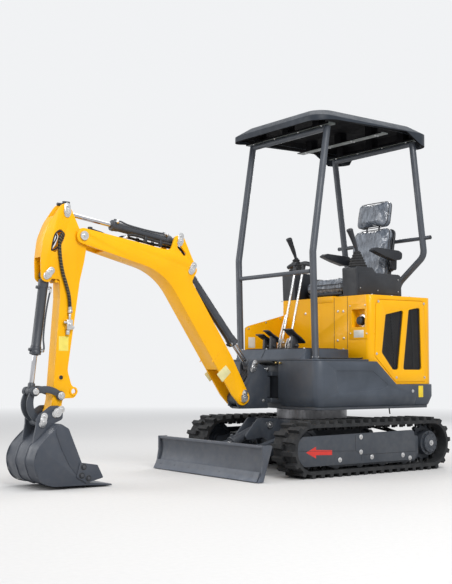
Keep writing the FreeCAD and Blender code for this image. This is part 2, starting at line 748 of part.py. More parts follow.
def arm_pins():
    inner_y = arm_half_width - arm_plate
    stub = fused([across(arm_top_pin, ram_pin_radius, inner_y, arm_half_width + 1),
                  across(arm_top_pin, ram_pin_radius + 8, arm_half_width + seat_gap,
                         arm_half_width + pin_head)])
    return both_sides(stub) + [pin(bucket_ram_arm, ram_pin_radius, arm_half_width),
                               pin(lever_pin, ram_pin_radius, lever_inner_y + lever_plate)]


def bowed_plate(start, end, bow, start_radius, end_radius, half_depth, y0, y1):
    """Curved link between two eyes; bow is how far its middle stands off the straight line."""
    a = V(start[0], y0, start[1])
    b = V(end[0], y0, end[1])
    along = (b - a).normalize()
    off = V(-along.z, 0, along.x)
    middle = (a + b) * 0.5 + off * bow
    edge = Part.Wire([Part.Arc(a + off * half_depth, middle + off * half_depth, b + off * half_depth).toShape(),
                      Part.makeLine(b + off * half_depth, b - off * half_depth),
                      Part.Arc(b - off * half_depth, middle - off * half_depth, a - off * half_depth).toShape(),
                      Part.makeLine(a - off * half_depth, a + off * half_depth)])
    bar = Part.Face(edge).extrude(V(0, y1 - y0, 0))
    return fused([bar, across(start, start_radius, y0, y1), across(end, end_radius, y0, y1)])


def tipping_levers():
    y1 = lever_inner_y + lever_plate
    lever = bowed_plate(lever_pin, knuckle, 22, 26, 26, 19, lever_inner_y, y1)
    lever = lever.cut(across(lever_pin, ram_pin_radius + pin_play, 0, 100))
    cap = across(knuckle, ram_pin_radius + 4, y1 - 1, y1 + pin_head)
    return both_sides(fused([lever, cap]))


def bucket_link():
    y1 = link_inner_y + link_plate
    bar = bowed_plate(link_pin, knuckle, -38, 26, 26, 20, link_inner_y, y1)
    bar = bar.cut(across(link_pin, ram_pin_radius + pin_play, 0, 100))
    low = across(link_pin, 26, -link_inner_y, link_inner_y)
    return fused(both_sides(bar) + [low.cut(across(link_pin, ram_pin_radius + pin_play, -100, 100))])


bucket_outline = [(1956, 352, 8), (1996, 318, 60), (2086, 232, 70), (2114, 150, 70), (2078, 52, 70),
                  (1990, 18, 60), (1768, 14), (1828, 139, 200), (1909, 325, 20)]


def bucket():
    inner_y = bucket_half_width - bucket_plate
    face = Part.Face(outline(bucket_outline, lambda p: V(p.x, -inner_y, p.y)))
    void = face.makeOffset2D(-bucket_plate)
    sheet = face.extrude(V(0, 2 * inner_y, 0))
    hollow = void.extrude(V(0, 2 * inner_y, 0))
    sheet = sheet.cut(hollow)
    for step in (8, 16, 24):
        sheet = sheet.cut(hollow.translated(V(-0.909 * step, 0, 0.417 * step)))
    cheeks = both_sides(side(bucket_outline, inner_y, bucket_half_width))
    brow = side([(1909, 325), (1956, 352), (1996, 318), (1988, 309), (1955, 338), (1914, 314)],
                -inner_y, inner_y)
    edge = side([(1800, 15), (1796, 30), (1640, 14), (1636, 5)], -bucket_half_width, bucket_half_width)
    ear = side([(1894, 372, 20), (1894, 446, 36), (1966, 446, 34), (2052, 388, 34), (2052, 345, 20), (2074, 238),
                (1994, 314), (1957, 345)], ear_inner_y, ear_inner_y + ear_plate)
    band = face.makeOffset2D(bucket_rib_rise).cut(face).extrude(V(0, bucket_rib_width, 0))
    band = band.common(box(1990, 2300, -500, 500, -50, 262))
    ribs = [band.translated(V(0, inner_y + y - bucket_rib_width / 2, 0))
            for y in (-bucket_rib_y, bucket_rib_y)]
    cutter = side([(1842, 141, 8), (1734, 123, 6), (1696, 52, 6), (1800, 28, 6), (1862, 62, 8)],
                  bucket_half_width, bucket_half_width + 9)
    whole = fused([sheet, brow, edge] + cheeks + both_sides(ear) + both_sides(cutter) + ribs)
    whole = whole.cut(across(bucket_pin, main_pin_radius, -100, 100))
    return whole.cut(across(link_pin, ram_pin_radius, -100, 100))


def bucket_pins():
    reach = ear_inner_y + ear_plate
    return [pin(bucket_pin, main_pin_radius - seat_gap, reach),
            pin(link_pin, ram_pin_radius - seat_gap, reach)]


# house

def house_outline(inset, z):
    half = house_half_width - inset
    nose = house_front_x - inset
    tail = house_tail_x + inset
    front_turn = max(house_front_corner - inset, 8)
    tail_turn = max(house_tail_corner - inset, 8)
    return outline([(nose, -half, front_turn), (nose, half, front_turn), (tail, half, tail_turn),
                    (tail - tail_bulge, 0, 6 * half), (tail, -half, tail_turn)], lambda p: V(p.x, p.y, z))


def house_block(inset, z0, z1):
    """Closed block with the house's outline seen from above."""
    return Part.Face(house_outline(inset, z0)).extrude(V(0, 0, z1 - z0))


def house_bowl(inset, z1):
    """The same block from the skirt's lower edge up, running in towards that edge."""
    knee = skirt_bottom_z + skirt_taper_height
    foot = Part.makeLoft([house_outline(inset + skirt_taper, skirt_bottom_z), house_outline(inset, knee)],
                         True, True)
    return foot.fuse(house_block(inset, knee, z1)).removeSplitter()


panel_outline = [(-155, hood_top_z - 30, 20), (-118, hood_top_z - 62, 12), (-108, 738, 12),
                 (-295, weight_top_z + 16, 20), (-578, weight_top_z + 16, 12), (-584, 850, 200),
                 (-562, hood_top_z - 26, 20)]
mesh_outlines = (
    [(-205, hood_top_z - 124, 12), (-372, hood_top_z - 90, 14), (-318, 650, 14), (-268, 650, 20),
     (-168, 760, 24)],
    [(-420, hood_top_z - 86, 14), (-528, hood_top_z - 68, 14), (-540, 650, 16), (-364, 650, 14)],
)


def house_frame():
    deck = house_block(skirt_taper + 6, deck_bottom_z, skirt_bottom_z - seat_gap)
    deck = deck.cut(box(nose_front_x, 600, -nose_half_width - 2, nose_half_width + 2, 300, 500))
    race = upright(0, 0, ring_mid_radius - ring_play, body_top_z + 8, deck_bottom_z)
    core = upright(0, 0, ring_inner_radius, body_top_z, 500)
    z = skirt_bottom_z - seat_gap
    ribs = both_sides(side([(-560, z), (-560, rib_low_z), (-170, rib_low_z), (-170, 688), (345, 688), (345, z)],
                           rib_y, rib_y + rib_plate))
    bulkhead = box(329, 345, -rib_y, rib_y, deck_bottom_z, 688)
    lugs = []
    for z0, z1 in nose_lug_zs:
        lugs.append(plan([(330, -rib_y - rib_plate), (348, -rib_y - rib_plate), (372, -lug_neck, 12),
                          (swing_axis_x, -lug_neck), (swing_axis_x, lug_neck), (372, lug_neck, 12),
                          (348, rib_y + rib_plate), (330, rib_y + rib_plate)], z0, z1))
        lugs.append(upright(swing_axis_x, 0, lug_radius, z0, z1))
    frame = fused([deck, race, bulkhead] + ribs + lugs)
    frame = frame.cut(core)
    return frame.cut(upright(swing_axis_x, 0, swing_pin_radius + seat_gap, 300, 800))


def skirt():
    shell = house_bowl(0, skirt_top_z).cut(house_bowl(skirt_wall, skirt_top_z - skirt_wall))
    shell = shell.cut(house_block(skirt_ledge, skirt_bottom_z, skirt_top_z + 5))
    shell = shell.cut(box(-900, 900, -600, nose_half_width, 300, 900))
    shell = shell.cut(box(-900, weight_front_x + seat_gap, 0, 600, 300, 900))
    shell = shell.cut(side([(-104, 730), (-104, 702), (-112, 702), (-290, weight_top_z), (-900, weight_top_z),
                            (-900, 730)], 0, 600))
    recess = side([(246, 642, 12), (-74, 642, 12), (-226, 546, 12), (-140, 520, 12), (224, 504, 14)],
                  house_half_width - 5, house_half_width + 5)
    return shell.cut(recess)


def counterweight():
    block = house_bowl(0, weight_top_z).cut(house_block(weight_thickness, 300, 800))
    return block.cut(box(weight_front_x, 900, -600, 600, 300, 800))


def hood_block(inset, z0, z1):
    """Block of the hood seen from above: left front corner rounded, right front corner running in."""
    half = house_half_width - hood_inset
    x = hood_front_x
    ahead = Part.Face(outline([(-900, -half), (x - hood_right_run, -half, 30), (x, -hood_right_y, 20),
                               (x, half, hood_corner), (-900, half)], lambda p: V(p.x, p.y, z0)))
    if inset:
        ahead = ahead.makeOffset2D(-inset)
    return house_block(hood_inset + inset, z0, z1).common(ahead.extrude(V(0, 0, z1 - z0)))


def hood_shell():
    outer = hood_block(0, weight_top_z + seat_gap, hood_top_z)
    shell = outer.cut(hood_block(hood_wall, weight_top_z, hood_top_z - hood_wall))
    y0, y1, z0, z1 = knob_pocket
    back = hood_front_x - knob_pocket_depth
    shell = shell.fuse(box(back - 3, hood_front_x - 1, y0 - 3, y1 + 3, z0 - 3, z1 + 3))
    shell = shell.cut(box(back, hood_front_x + 50, y0, y1, z0, z1))
    shell = shell.cut(side([(-30, 500), (-30, skirt_top_z + seat_gap), (-113, skirt_top_z + seat_gap),
                            (-292, weight_top_z + seat_gap), (-300, 500)], -600, 600))
    for points, y in ((panel_outline, 400), (squeezed(panel_outline), -600)):
        grown = Part.Face(outline(points, lambda p: V(p.x, y, p.y))).makeOffset2D(panel_gap)
        shell = shell.cut(grown.extrude(V(0, 200, 0)))
    door = box(-900, -620, -door_half_width - panel_gap, door_half_width + panel_gap,
               door_bottom_z - panel_gap, door_top_z + panel_gap)
    return fused([shell.cut(door)] + [hinge_fixed(z) for z in hinge_zs])


def hinge_fixed(z):
    """Two knuckles on the hood with the pin between them."""
    x, y = hinge_axis
    knuckles = [upright(x, y, hinge_radius, z + a, z + a + 20) for a in (-30.2, 10.2)]
    leaf = box(x - 3, x + 13, y + 0.5, y + 30, z - 30.2, z + 30.2)
    leaf = leaf.cut(upright(x, y, hinge_radius + 2, z - 10.2, z + 10.2))
    return fused(knuckles + [leaf, upright(x, y, hinge_pin_radius, z - 20, z + 20)])


def hinge_moving(z):
    x, y = hinge_axis
    knuckle = upright(x, y, hinge_radius, z - 10, z + 10)
    leaf = box(x - 3, x + 7, y - 32, y, z - 10, z + 10)
    return fused([knuckle, leaf]).cut(upright(x, y, hinge_pin_radius + pin_play, z - 20, z + 20))


def squeezed(points):
    """The same outline drawn in at its front, for the right side where the hood's corner runs in."""
    fixed, front_x = -372, -108
    share = (front_x - fixed + 40 - hood_right_run) / (front_x - fixed)
    return [(fixed + (p[0] - fixed) * share,) + tuple(p[1:]) if p[0] > fixed else p for p in points]


def hood_panel(border, windows, room):
    y1 = house_half_width - hood_inset + 2
    panel = side(border, y1 - panel_thickness, y1)
    for points in windows:
        panel = panel.cut(side(points, y1 - 50, y1 + 50))
    inner_y = house_half_width - hood_inset - hood_wall - seat_gap
    face = Part.Face(outline(border, lambda p: V(p.x, inner_y - flange_thickness, p.y)))
    flange = face.makeOffset2D(panel_gap + 11).cut(face.makeOffset2D(-10)).extrude(V(0, flange_thickness, 0))
    return fused([panel, flange.common(room)])


def side_mesh(windows):
    y1 = house_half_width - hood_inset + 2 - panel_thickness / 2
    meshes = []
    for points in windows:
        face = Part.Face(outline(points, lambda p: V(p.x, y1 - mesh_thickness, p.y)))
        meshes.append(face.makeOffset2D(-seat_gap).extrude(V(0, mesh_thickness, 0)))
    return meshes


def rear_door():
    outer = house_block(hood_inset - 2, door_bottom_z, door_top_z)
    inner = house_block(hood_inset - 2 + door_thickness, 0, 2000)
    door = outer.cut(inner).common(box(-900, -620, -door_half_width, door_half_width, 0, 2000))
    return fused([door] + [hinge_moving(z) for z in hinge_zs])


def engine_block():
    return box(-520, -180, -230, 230, rib_low_z + seat_gap, 880)


def tank_blocks():
    """Outer block of the side cover and its hollow; the front runs back to let the canopy post pass."""
    rear = hood_front_x + 4
    y_in, y_out = -cover_inner_y, -house_half_width + hood_inset
    ground = outline([(rear, y_in), (cover_front_x - 7, y_in, 8), (cover_front_x - 135, y_out, 60),
                      (rear - hood_right_run, y_out), (rear, -hood_right_y)], lambda p: V(p.x, p.y, 0))

    def profile(y, drop, inset):
        z0 = skirt_top_z + floor_plate + 2 * seat_gap + inset
        back, ahead = rear - hood_right_run, cover_front_x - inset
        low, high = cover_front_z - drop - inset, cover_rear_z - drop - inset
        return outline([(back, z0), (ahead + 3, z0), (ahead, 793, 60), (ahead - 21, low, 30), (rear, high),
                        (back, high)], lambda p: V(p.x, y, p.y))

    def block(inset):
        form = Part.makeLoft([profile(y_in - inset, 0, inset), profile(y_out + inset, cover_drop, inset)],
                             True, True)
        face = Part.Face(ground)
        if inset:
            face = face.makeOffset2D(-inset)
        return form.common(face.extrude(V(0, 0, 2000)))
    return block(0), block(cover_wall)


def floor_pan():
    z0 = skirt_top_z + seat_gap
    x0 = hood_front_x + seat_gap
    half = house_half_width - 22
    plate = plan([(x0, -half), (floor_front_x, -half, 60), (floor_front_x, half, 60), (x0, half)],
                 z0, z0 + floor_plate)

    def riser(inset):
        y = floor_half_width - inset
        x = floor_front_x - inset
        back, top = floor_rear_x + inset, floor_top_z - inset
        form = side([(back, z0 - inset), (x, z0 - inset), (x, z0 + floor_plate + 3),
                     (x - floor_slope + inset / 2, top, 8), (back, top, 4)], -y, y)
        return form.common(plan([(floor_rear_x, -y), (x - 20, -y), (x, 23 - y), (x, y - 23), (x - 20, y),
                                 (floor_rear_x, y)], 0, 1000))
    return fused([plate, riser(0)]).cut(riser(floor_wall))


# driver's place

def leaning_pad(middle, sizes, side_turn, front_turn):
    """Upright pad around a side-view point, leaning back, rounded in both views."""
    half_width, half_height, half_depth = sizes
    turn = math.radians(seat_lean)
    up = V(-math.sin(turn), math.cos(turn), 0)
    ahead = V(math.cos(turn), math.sin(turn), 0)
    corners = [V(middle[0], middle[1], 0) + up * (h * half_height) + ahead * (d * half_depth)
               for h, d in ((-1, -1), (-1, 1), (1, 1), (1, -1))]
    pad = side([(c.x, c.y, side_turn) for c in corners], -half_width, half_width)
    low = min(c.y for c in corners)
    high = max(c.y for c in corners)
    return pad.common(front([(-half_width, low, front_turn), (half_width, low, front_turn),
                             (half_width, high, front_turn), (-half_width, high, front_turn)], -900, 0))


def seat():
    y = seat_half_width
    base = box(-520, -120, -170, 170, hood_top_z + seat_gap, seat_base_top_z)
    cushion = plan([(-540, -y, 60), (-90, -y, 70), (-90, y, 70), (-540, y, 60)],
                   seat_base_top_z + seat_gap, cushion_top_z)
    x, z = backrest_middle[0] + 33, cushion_top_z + seat_gap
    foot = side([(x - 34, z), (x + 30, z), (x + 22, z + 60), (x - 36, z + 60)], -150, 150)
    x, z = headrest_middle
    bars = [rod(V(x - 9, y, z - 60), V(x + 11, y, z - 170), 8) for y in (-60, 60)]
    pads = [leaning_pad(backrest_middle, backrest, 26, 60), leaning_pad(headrest_middle, headrest, 26, 50)]
    return base, cushion, fused(pads + [foot] + bars)


def armrest():
    y = backrest[0] + seat_gap
    x, z = backrest_middle[0], armrest_z
    pad = side([(x + 252, z - 12, 8), (x + 215, z + 10, 12), (x - 25, z, 14), (x - 25, z - 70, 14),
                (x + 95, z - 66, 40)], y + 28, y + 88)
    stalk = side([(x + 20, z - 30), (x + 20, z - 72, 10), (x + 10, z - 130, 16), (x - 30, z - 130, 16),
                  (x - 36, z - 30)], y, y + 29)
    return fused([pad, stalk])


def console():
    x, z0, top = console_front_x, hood_top_z + seat_gap, console_top_z
    low = top - console_step
    return side([(x - 8, z0, 4), (x, top, 14), (x - 150, top, 20), (x - 185, low, 24), (x - 420, low, 30),
                 (x - 424, z0, 4)], console_inner_y, console_outer_y)


def joystick():
    x, y = joystick_base
    z0 = console_top_z + seat_gap
    boot = Part.makeCone(60, 22, 112, V(x, y, z0), V(0, 0, 1))
    stem = rod(V(x, y, z0 + 100), V(x + 26, y, z0 + 150), 13)
    grip = Part.makeCone(15, 21, 108, V(x + 22, y, z0 + 142), V(0.5, 0, 1))
    return fused([boot, stem, grip])


def travel_levers():
    bars = []
    for y in (-lever_y, lever_y):
        outward = 1 if y > 0 else -1
        top = V(lever_top[0], y, lever_top[1])
        foot = rod(V(lever_foot_x, y, floor_top_z + seat_gap), V(lever_foot_x, y, floor_top_z + 60), 16)
        lever = rod(V(lever_foot_x, y, floor_top_z + 40), top, 9)
        neck = rod(top - V(0, 0, 10), top + V(-6, outward * 8, 44), 13)
        handle = rod(top + V(-4, -outward * 12, 50), top + V(-8, outward * 62, 38), 15)
        bars.append(fused([foot, lever, neck, handle]))
    return bars


def pedals():
    z = floor_top_z
    plates = []
    for y, x, half in pedal_places:
        pad = side([(x - 60, z + 26), (x - 56, z + 34), (x + 60, z + 84), (x + 64, z + 76)], y - half, y + half)
        leg = side([(x - 30, z + seat_gap), (x - 30, z + 44), (x + 20, z + 66), (x + 20, z + seat_gap)],
                   y - 12, y + 12)
        plates.append(fused([pad, leg]))
    return plates


def canopy_frame(tank):
    tubes = []
    for sign in (-1, 1):
        front_foot = V(post_foot[0], sign * post_foot[1], skirt_top_z + floor_plate + 2 * seat_gap)
        tubes.append(bent_tube([front_foot + V(0, 0, 2), V(325, sign * 380, 1387),
                                V(canopy_front_top_x, sign * 380, top_bar_z + 11)],
                               post_tube_radius, post_bend_radius))
        tubes.append(bent_tube([V(-610, sign * 190, hood_top_z + 12), V(-640, sign * 196, hood_top_z + 120),
                                V(-690, sign * 385, hood_top_z + 300),
                                V(canopy_rear_top_x, sign * 385, top_bar_z + 11)],
                               post_tube_radius, post_bend_radius))
        tubes.append(upright(-610, sign * 190, 44, hood_top_z + seat_gap, hood_top_z + 12))
        tubes.append(upright(front_foot.x, front_foot.y, post_foot_radius, front_foot.z, front_foot.z + 10))
    tubes.append(rod(V(322, -380, 1265), V(322, 380, 1265), 14))
    tubes.append(rod(V(-680, -450, hood_top_z + 420), V(-680, 450, hood_top_z + 420), 14))
    for x, y, radius in ((canopy_front_top_x, 380, front_bar_radius),
                         (canopy_rear_top_x, 385, rear_bar_radius)):
        tubes.append(rod(V(x, -y, top_bar_z), V(x, y, top_bar_z), radius))
    return fused(tubes).cut(tank.fuse(tank.translated(V(0, 0, seat_gap))))


def canopy_roof():
    half = roof_half_width
    x0, x1 = roof_rear_x, roof_front_x

    def rim(inset, z):
        back, ahead, y = x0 + inset, x1 - inset, half - inset
        return outline([(back, -y, 110), (ahead, -y, 110), (ahead, y, 110), (back, y, 110)],
                       lambda p: V(p.x, p.y, z))
    z = roof_edge_z
    top = z + roof_lip
    edge = Part.Face(rim(0, roof_flap_z)).extrude(V(0, 0, top - roof_flap_z))
    crown = Part.makeLoft([rim(0, top), rim(70, top + roof_rise)], True, True)
    outer = edge.fuse(crown)
    hollow = Part.Face(rim(14, roof_flap_z)).extrude(V(0, 0, top - roof_flap_z - 8))
    hollow = hollow.fuse(Part.makeLoft([rim(14, top - 8), rim(80, top + roof_rise - 14)], True, True))
    below = side([(x1 + 20, 2000), (x1 + 20, z), (x1 - 40, z), (200, z + 13, 60), (-445, z + 31, 40),
                  (-584, roof_flap_z), (x0 - 20, roof_flap_z), (x0 - 20, 2000)], -half - 20, half + 20)
    gate = front([(-340, 2000), (-336, roof_flap_z), (-276, z + 31, 20), (276, z + 31, 20),
                  (336, roof_flap_z), (340, 2000)], x0 - 20, -500)
    shell = outer.cut(hollow).cut(below).cut(gate)
    bars = []
    for x, foot in ((canopy_front_top_x, top_bar_z + front_bar_radius + seat_gap), (roof_bar_x, z - 1),
                    (canopy_rear_top_x, top_bar_z + rear_bar_radius + seat_gap)):
        bars.append(box(x - 30, x + 30, -half + 40, half - 40, foot, z + 6))
        for y in (-300, 0, 300):
            bars.append(box(x - 30, x + 30, y - 30, y + 30, z + 5, z + roof_lip + roof_rise).common(outer))
    return fused([shell] + bars)


os.makedirs("parts", exist_ok=True)

belt = track_belt()
keep("track_belt_left", belt)
keep("track_belt_right", mirrored(belt))
keep("idlers", both_sides(idler()))
keep("drive_sprockets", both_sides(sprocket()))
roller_set = rollers()
keep("rollers", roller_set + [mirrored(r) for r in roller_set])
keep("track_frames", both_sides(track_frame()))
keep("track_covers", both_sides(track_cover()))
keep("car_body", car_body())
keep("slew_ring", slew_ring())
board = blade()
keep("blade", board)
keep("blade_arms", blade_arms(board))
keep("blade_pins", blade_pins())
keep("blade_eye_pins", blade_eye_pins())
keep("blade_cylinder_barrel", ram_tube("blade", blade_ram_base, blade_ram_eye))
keep("blade_cylinder_rod", ram_rod("blade", blade_ram_base, blade_ram_eye))
keep("house_frame", house_frame())
keep("skirt_left", skirt())
keep("skirt_right", mirrored(skirt()))
keep("counterweight", counterweight())
keep("hood_shell", hood_shell())
hood_room = hood_block(hood_wall + seat_gap, 0, 2000)
short_outlines = [squeezed(points) for points in mesh_outlines]
keep("hood_panel_left", hood_panel(panel_outline, mesh_outlines, hood_room))
keep("hood_panel_right", mirrored(hood_panel(squeezed(panel_outline), short_outlines, mirrored(hood_room))))
keep("side_meshes", side_mesh(mesh_outlines) + [mirrored(m) for m in side_mesh(short_outlines)])
keep("rear_door", rear_door())
keep("engine_block", engine_block())
tank, tank_inside = tank_blocks()
keep("side_tank", tank.cut(tank_inside))
keep("floor_pan", floor_pan())
seat_base, seat_cushion, seat_back = seat()
keep("seat_base", seat_base)
keep("seat_cushion", seat_cushion)
keep("seat_back", seat_back)
keep("armrests", both_sides(armrest()))
keep("console_left", console())
keep("console_right", mirrored(console()))
keep("joysticks", both_sides(joystick()))
keep("travel_levers", travel_levers())
keep("pedals", pedals())
keep("canopy_frame", canopy_frame(tank))
keep("canopy_roof", canopy_roof())
swing_pin, ram_stubs = post_pins()
keep("swing_post", swing_post())
keep("post_pins", [swing_pin] + ram_stubs)
keep("boom", boom())
keep("boom_pins", boom_pins())
keep("boom_cylinder_barrel", ram_tube("boom", boom_ram_boom, boom_ram_post))
keep("boom_cylinder_rod", ram_rod("boom", boom_ram_boom, boom_ram_post))
keep("arm", arm())
keep("arm_pins", arm_pins())
keep("arm_cylinder_barrel", ram_tube("arm", arm_ram_boom, arm_top_pin))
keep("arm_cylinder_rod", ram_rod("arm", arm_ram_boom, arm_top_pin))
keep("bucket_cylinder_barrel", ram_tube("bucket", bucket_ram_arm, knuckle))
keep("bucket_cylinder_rod", ram_rod("bucket", bucket_ram_arm, knuckle))
keep("tipping_levers", tipping_levers())
keep("bucket_link", bucket_link())
keep("bucket", bucket())
keep("bucket_pins", bucket_pins())
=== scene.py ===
import json
import math
import bpy
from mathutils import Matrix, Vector

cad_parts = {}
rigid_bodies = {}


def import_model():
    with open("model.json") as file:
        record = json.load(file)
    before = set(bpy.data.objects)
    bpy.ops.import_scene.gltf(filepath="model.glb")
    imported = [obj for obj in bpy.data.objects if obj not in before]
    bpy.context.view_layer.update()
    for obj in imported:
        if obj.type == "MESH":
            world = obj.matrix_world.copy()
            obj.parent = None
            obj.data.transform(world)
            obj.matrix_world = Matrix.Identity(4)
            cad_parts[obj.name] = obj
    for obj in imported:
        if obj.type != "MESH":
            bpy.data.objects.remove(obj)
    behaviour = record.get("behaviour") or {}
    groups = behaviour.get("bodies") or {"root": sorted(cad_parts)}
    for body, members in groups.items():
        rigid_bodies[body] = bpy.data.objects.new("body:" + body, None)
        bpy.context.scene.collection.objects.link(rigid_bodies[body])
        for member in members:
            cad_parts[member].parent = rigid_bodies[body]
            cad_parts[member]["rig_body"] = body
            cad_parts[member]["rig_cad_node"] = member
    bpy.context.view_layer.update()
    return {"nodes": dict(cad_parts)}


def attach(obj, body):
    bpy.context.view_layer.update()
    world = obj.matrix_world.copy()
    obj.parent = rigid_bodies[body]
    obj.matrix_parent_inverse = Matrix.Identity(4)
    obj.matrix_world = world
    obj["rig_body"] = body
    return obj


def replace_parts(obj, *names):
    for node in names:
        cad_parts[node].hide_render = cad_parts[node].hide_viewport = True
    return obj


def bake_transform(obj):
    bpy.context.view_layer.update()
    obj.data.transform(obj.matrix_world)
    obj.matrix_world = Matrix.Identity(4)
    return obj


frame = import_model()
nodes = frame["nodes"]
mm = 0.001


# tools used by every piece

def clearSelection():
    if bpy.context.object and bpy.context.object.mode != "OBJECT":
        bpy.ops.object.mode_set(mode="OBJECT")
    bpy.ops.object.select_all(action="DESELECT")


def focus(piece):
    clearSelection()
    piece.select_set(True)
    bpy.context.view_layer.objects.active = piece
    return piece


def freeze(piece):
    # Puts the piece's place into its mesh, as a CAD node's is.
    focus(piece)
    bpy.ops.object.transform_apply(location=True, rotation=True, scale=True)
    return piece


def applyAll(piece):
    focus(piece)
    for modifier in list(piece.modifiers):
        bpy.ops.object.modifier_apply(modifier=modifier.name)
    return piece


def softenEdges(piece, width, segments=2, angle=30):
    # Rounds the sharp edges by a bevel that is as wide everywhere.
    bevel = piece.modifiers.new("Bevel", "BEVEL")
    bevel.width = width * mm
    bevel.segments = segments
    bevel.limit_method = "ANGLE"
    bevel.angle_limit = math.radians(angle)
    return applyAll(piece)


def smooth(piece, angle=35):
    focus(piece)
    bpy.ops.object.shade_smooth_by_angle(angle=math.radians(angle))
    return piece


def joinPieces(pieces):
    clearSelection()
    for piece in pieces:
        piece.select_set(True)
    bpy.context.view_layer.objects.active = pieces[0]
    if len(pieces) > 1:
        bpy.ops.object.join()
    return bpy.context.view_layer.objects.active


def finish(pieces, name, body, finishName, angle=35):
    # Joins pieces if there are several, names the result, gives it its finish and puts it on its body.
    piece = freeze(joinPieces(pieces if isinstance(pieces, list) else [pieces]))
    piece.name = name
    piece.data.name = name
    piece.data.materials.clear()
    piece.data.materials.append(finishes[finishName])
    smooth(piece, angle)
    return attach(piece, body) if body else piece


def block(low, high, edge=0.0, segments=2):
    # Block between two corners in millimetres, its edges rounded.
    low, high = Vector(low) * mm, Vector(high) * mm
    clearSelection()
    bpy.ops.mesh.primitive_cube_add(size=1, location=(low + high) / 2)
    piece = bpy.context.object
    piece.scale = high - low
    freeze(piece)
    if edge:
        softenEdges(piece, edge, segments)
    return piece


def drum(start, end, radius, edge=0.0, sides=32, endRadius=None):
    # Round bar or cone between two points in millimetres.
    start, end = Vector(start) * mm, Vector(end) * mm
    line = end - start
    clearSelection()
    bpy.ops.mesh.primitive_cone_add(vertices=sides, radius1=radius * mm,
                                    radius2=(radius if endRadius is None else endRadius) * mm,
                                    depth=line.length, location=(start + end) / 2,
                                    rotation=line.to_track_quat("Z", "Y").to_euler())
    piece = freeze(bpy.context.object)
    if edge:
        softenEdges(piece, edge, 2, 40)
    return piece


def hexHead(at, direction, size=10.0, height=6.0):
    # Hexagon bolt head with a washer under it, standing on a face.
    at, direction = Vector(at), Vector(direction).normalized()
    washer = drum(at, at + direction * 1.6, size * 1.05, 0.4, 24)
    head = drum(at + direction * 1.6, at + direction * (1.6 + height), size * 0.62, 0.5, 6)
    return joinPieces([washer, head])


def plate(points, low, high, across="Y", edge=0.0, segments=2):
    # Flat outline pulled from low to high; its points are in the plane across that axis.
    def place(a, b, level):
        spots = {"Y": (a, level, b), "X": (level, a, b), "Z": (a, b, level)}
        return Vector(spots[across]) * mm
    clearSelection()
    bpy.ops.mesh.primitive_circle_add(vertices=len(points), radius=1, fill_type="NGON")
    piece = bpy.context.object
    for corner, (a, b) in zip(piece.data.vertices, points):
        corner.co = place(a, b, low)
    depth = place(0, 0, high) - place(0, 0, low)
    bpy.ops.object.mode_set(mode="EDIT")
    bpy.ops.mesh.select_all(action="SELECT")
    bpy.ops.mesh.extrude_region_move(TRANSFORM_OT_translate={"value": depth})
    bpy.ops.mesh.select_all(action="SELECT")
    bpy.ops.mesh.normals_make_consistent(inside=False)
    bpy.ops.object.mode_set(mode="OBJECT")
    if edge:
        softenEdges(piece, edge, segments)
    return piece


def rounded(points, turns=5):
    # Row of (a, b, corner radius) points with each corner turned by short runs.
    out = []
    count = len(points)
    for i, (a, b, radius) in enumerate(points):
        here = Vector((a, b))
        if not radius:
            out.append((a, b))
            continue
        back = (Vector(points[i - 1][:2]) - here)
        onward = (Vector(points[(i + 1) % count][:2]) - here)
        half = back.angle(onward) / 2
        run = min(radius / math.tan(half), 0.48 * back.length, 0.48 * onward.length)
        start, end = here + back.normalized() * run, here + onward.normalized() * run
        for step in range(turns + 1):
            t = step / turns
            out.append(tuple((1 - t) ** 2 * start + 2 * t * (1 - t) * here + t * t * end))
    return out


def smoothPath(points, resolution=10, cyclic=False):
    # Curve drawn smoothly by control points in millimetres.
    clearSelection()
    bpy.ops.curve.primitive_nurbs_path_add()
    piece = bpy.context.object
    piece.data.splines.clear()
    spline = piece.data.splines.new("NURBS")
    spline.points.add(len(points) - 1)
    for spot, point in zip(spline.points, points):
        spot.co = (*(Vector(point) * mm), 1)
    spline.use_cyclic_u = cyclic
    spline.use_endpoint_u = True
    spline.order_u = 3
    spline.resolution_u = resolution
    return piece


def tube(points, radius, sides=6, cyclic=False, widths=()):
    # Smooth round hose or bar, closed at its ends; widths swell it from point to point.
    curve = smoothPath(points, cyclic=cyclic).data
    for spot, width in zip(curve.splines[0].points, widths):
        spot.radius = width
    curve.bevel_depth = radius * mm
    curve.bevel_resolution = sides
    curve.use_fill_caps = True
    bpy.ops.object.convert(target="MESH")
    return bpy.context.object


def lineOf(points):
    # Places along the smooth line of those control points, in millimetres.
    piece = smoothPath(points, 24)
    mesh = bpy.data.meshes.new_from_object(piece)
    places = [corner.co / mm for corner in mesh.vertices]
    bpy.data.meshes.remove(mesh)
    bpy.data.objects.remove(piece)
    return places


def copyNode(name):
    # Merged copy of a CAD node, its flat faces made whole again.
    clearSelection()
    source = nodes[name]
    piece = source.copy()
    piece.data = source.data.copy()
    bpy.context.scene.collection.objects.link(piece)
    piece.parent = None
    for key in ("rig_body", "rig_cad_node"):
        if key in piece:
            del piece[key]
    focus(piece)
    bpy.ops.object.mode_set(mode="EDIT")
    bpy.ops.mesh.select_all(action="SELECT")
    bpy.ops.mesh.remove_doubles(threshold=0.00002)
    bpy.ops.mesh.dissolve_limited(angle_limit=math.radians(0.6))
    bpy.ops.object.mode_set(mode="OBJECT")
    return piece


def softCopy(name, finishName, width):
    # Stands for a CAD node with its edges rounded as pressed or cast ones are.
    piece = softenEdges(copyNode(name), width, 2, 28)
    finish(piece, name + "Finish", nodes[name]["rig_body"], finishName)
    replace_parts(piece, name)


# materials

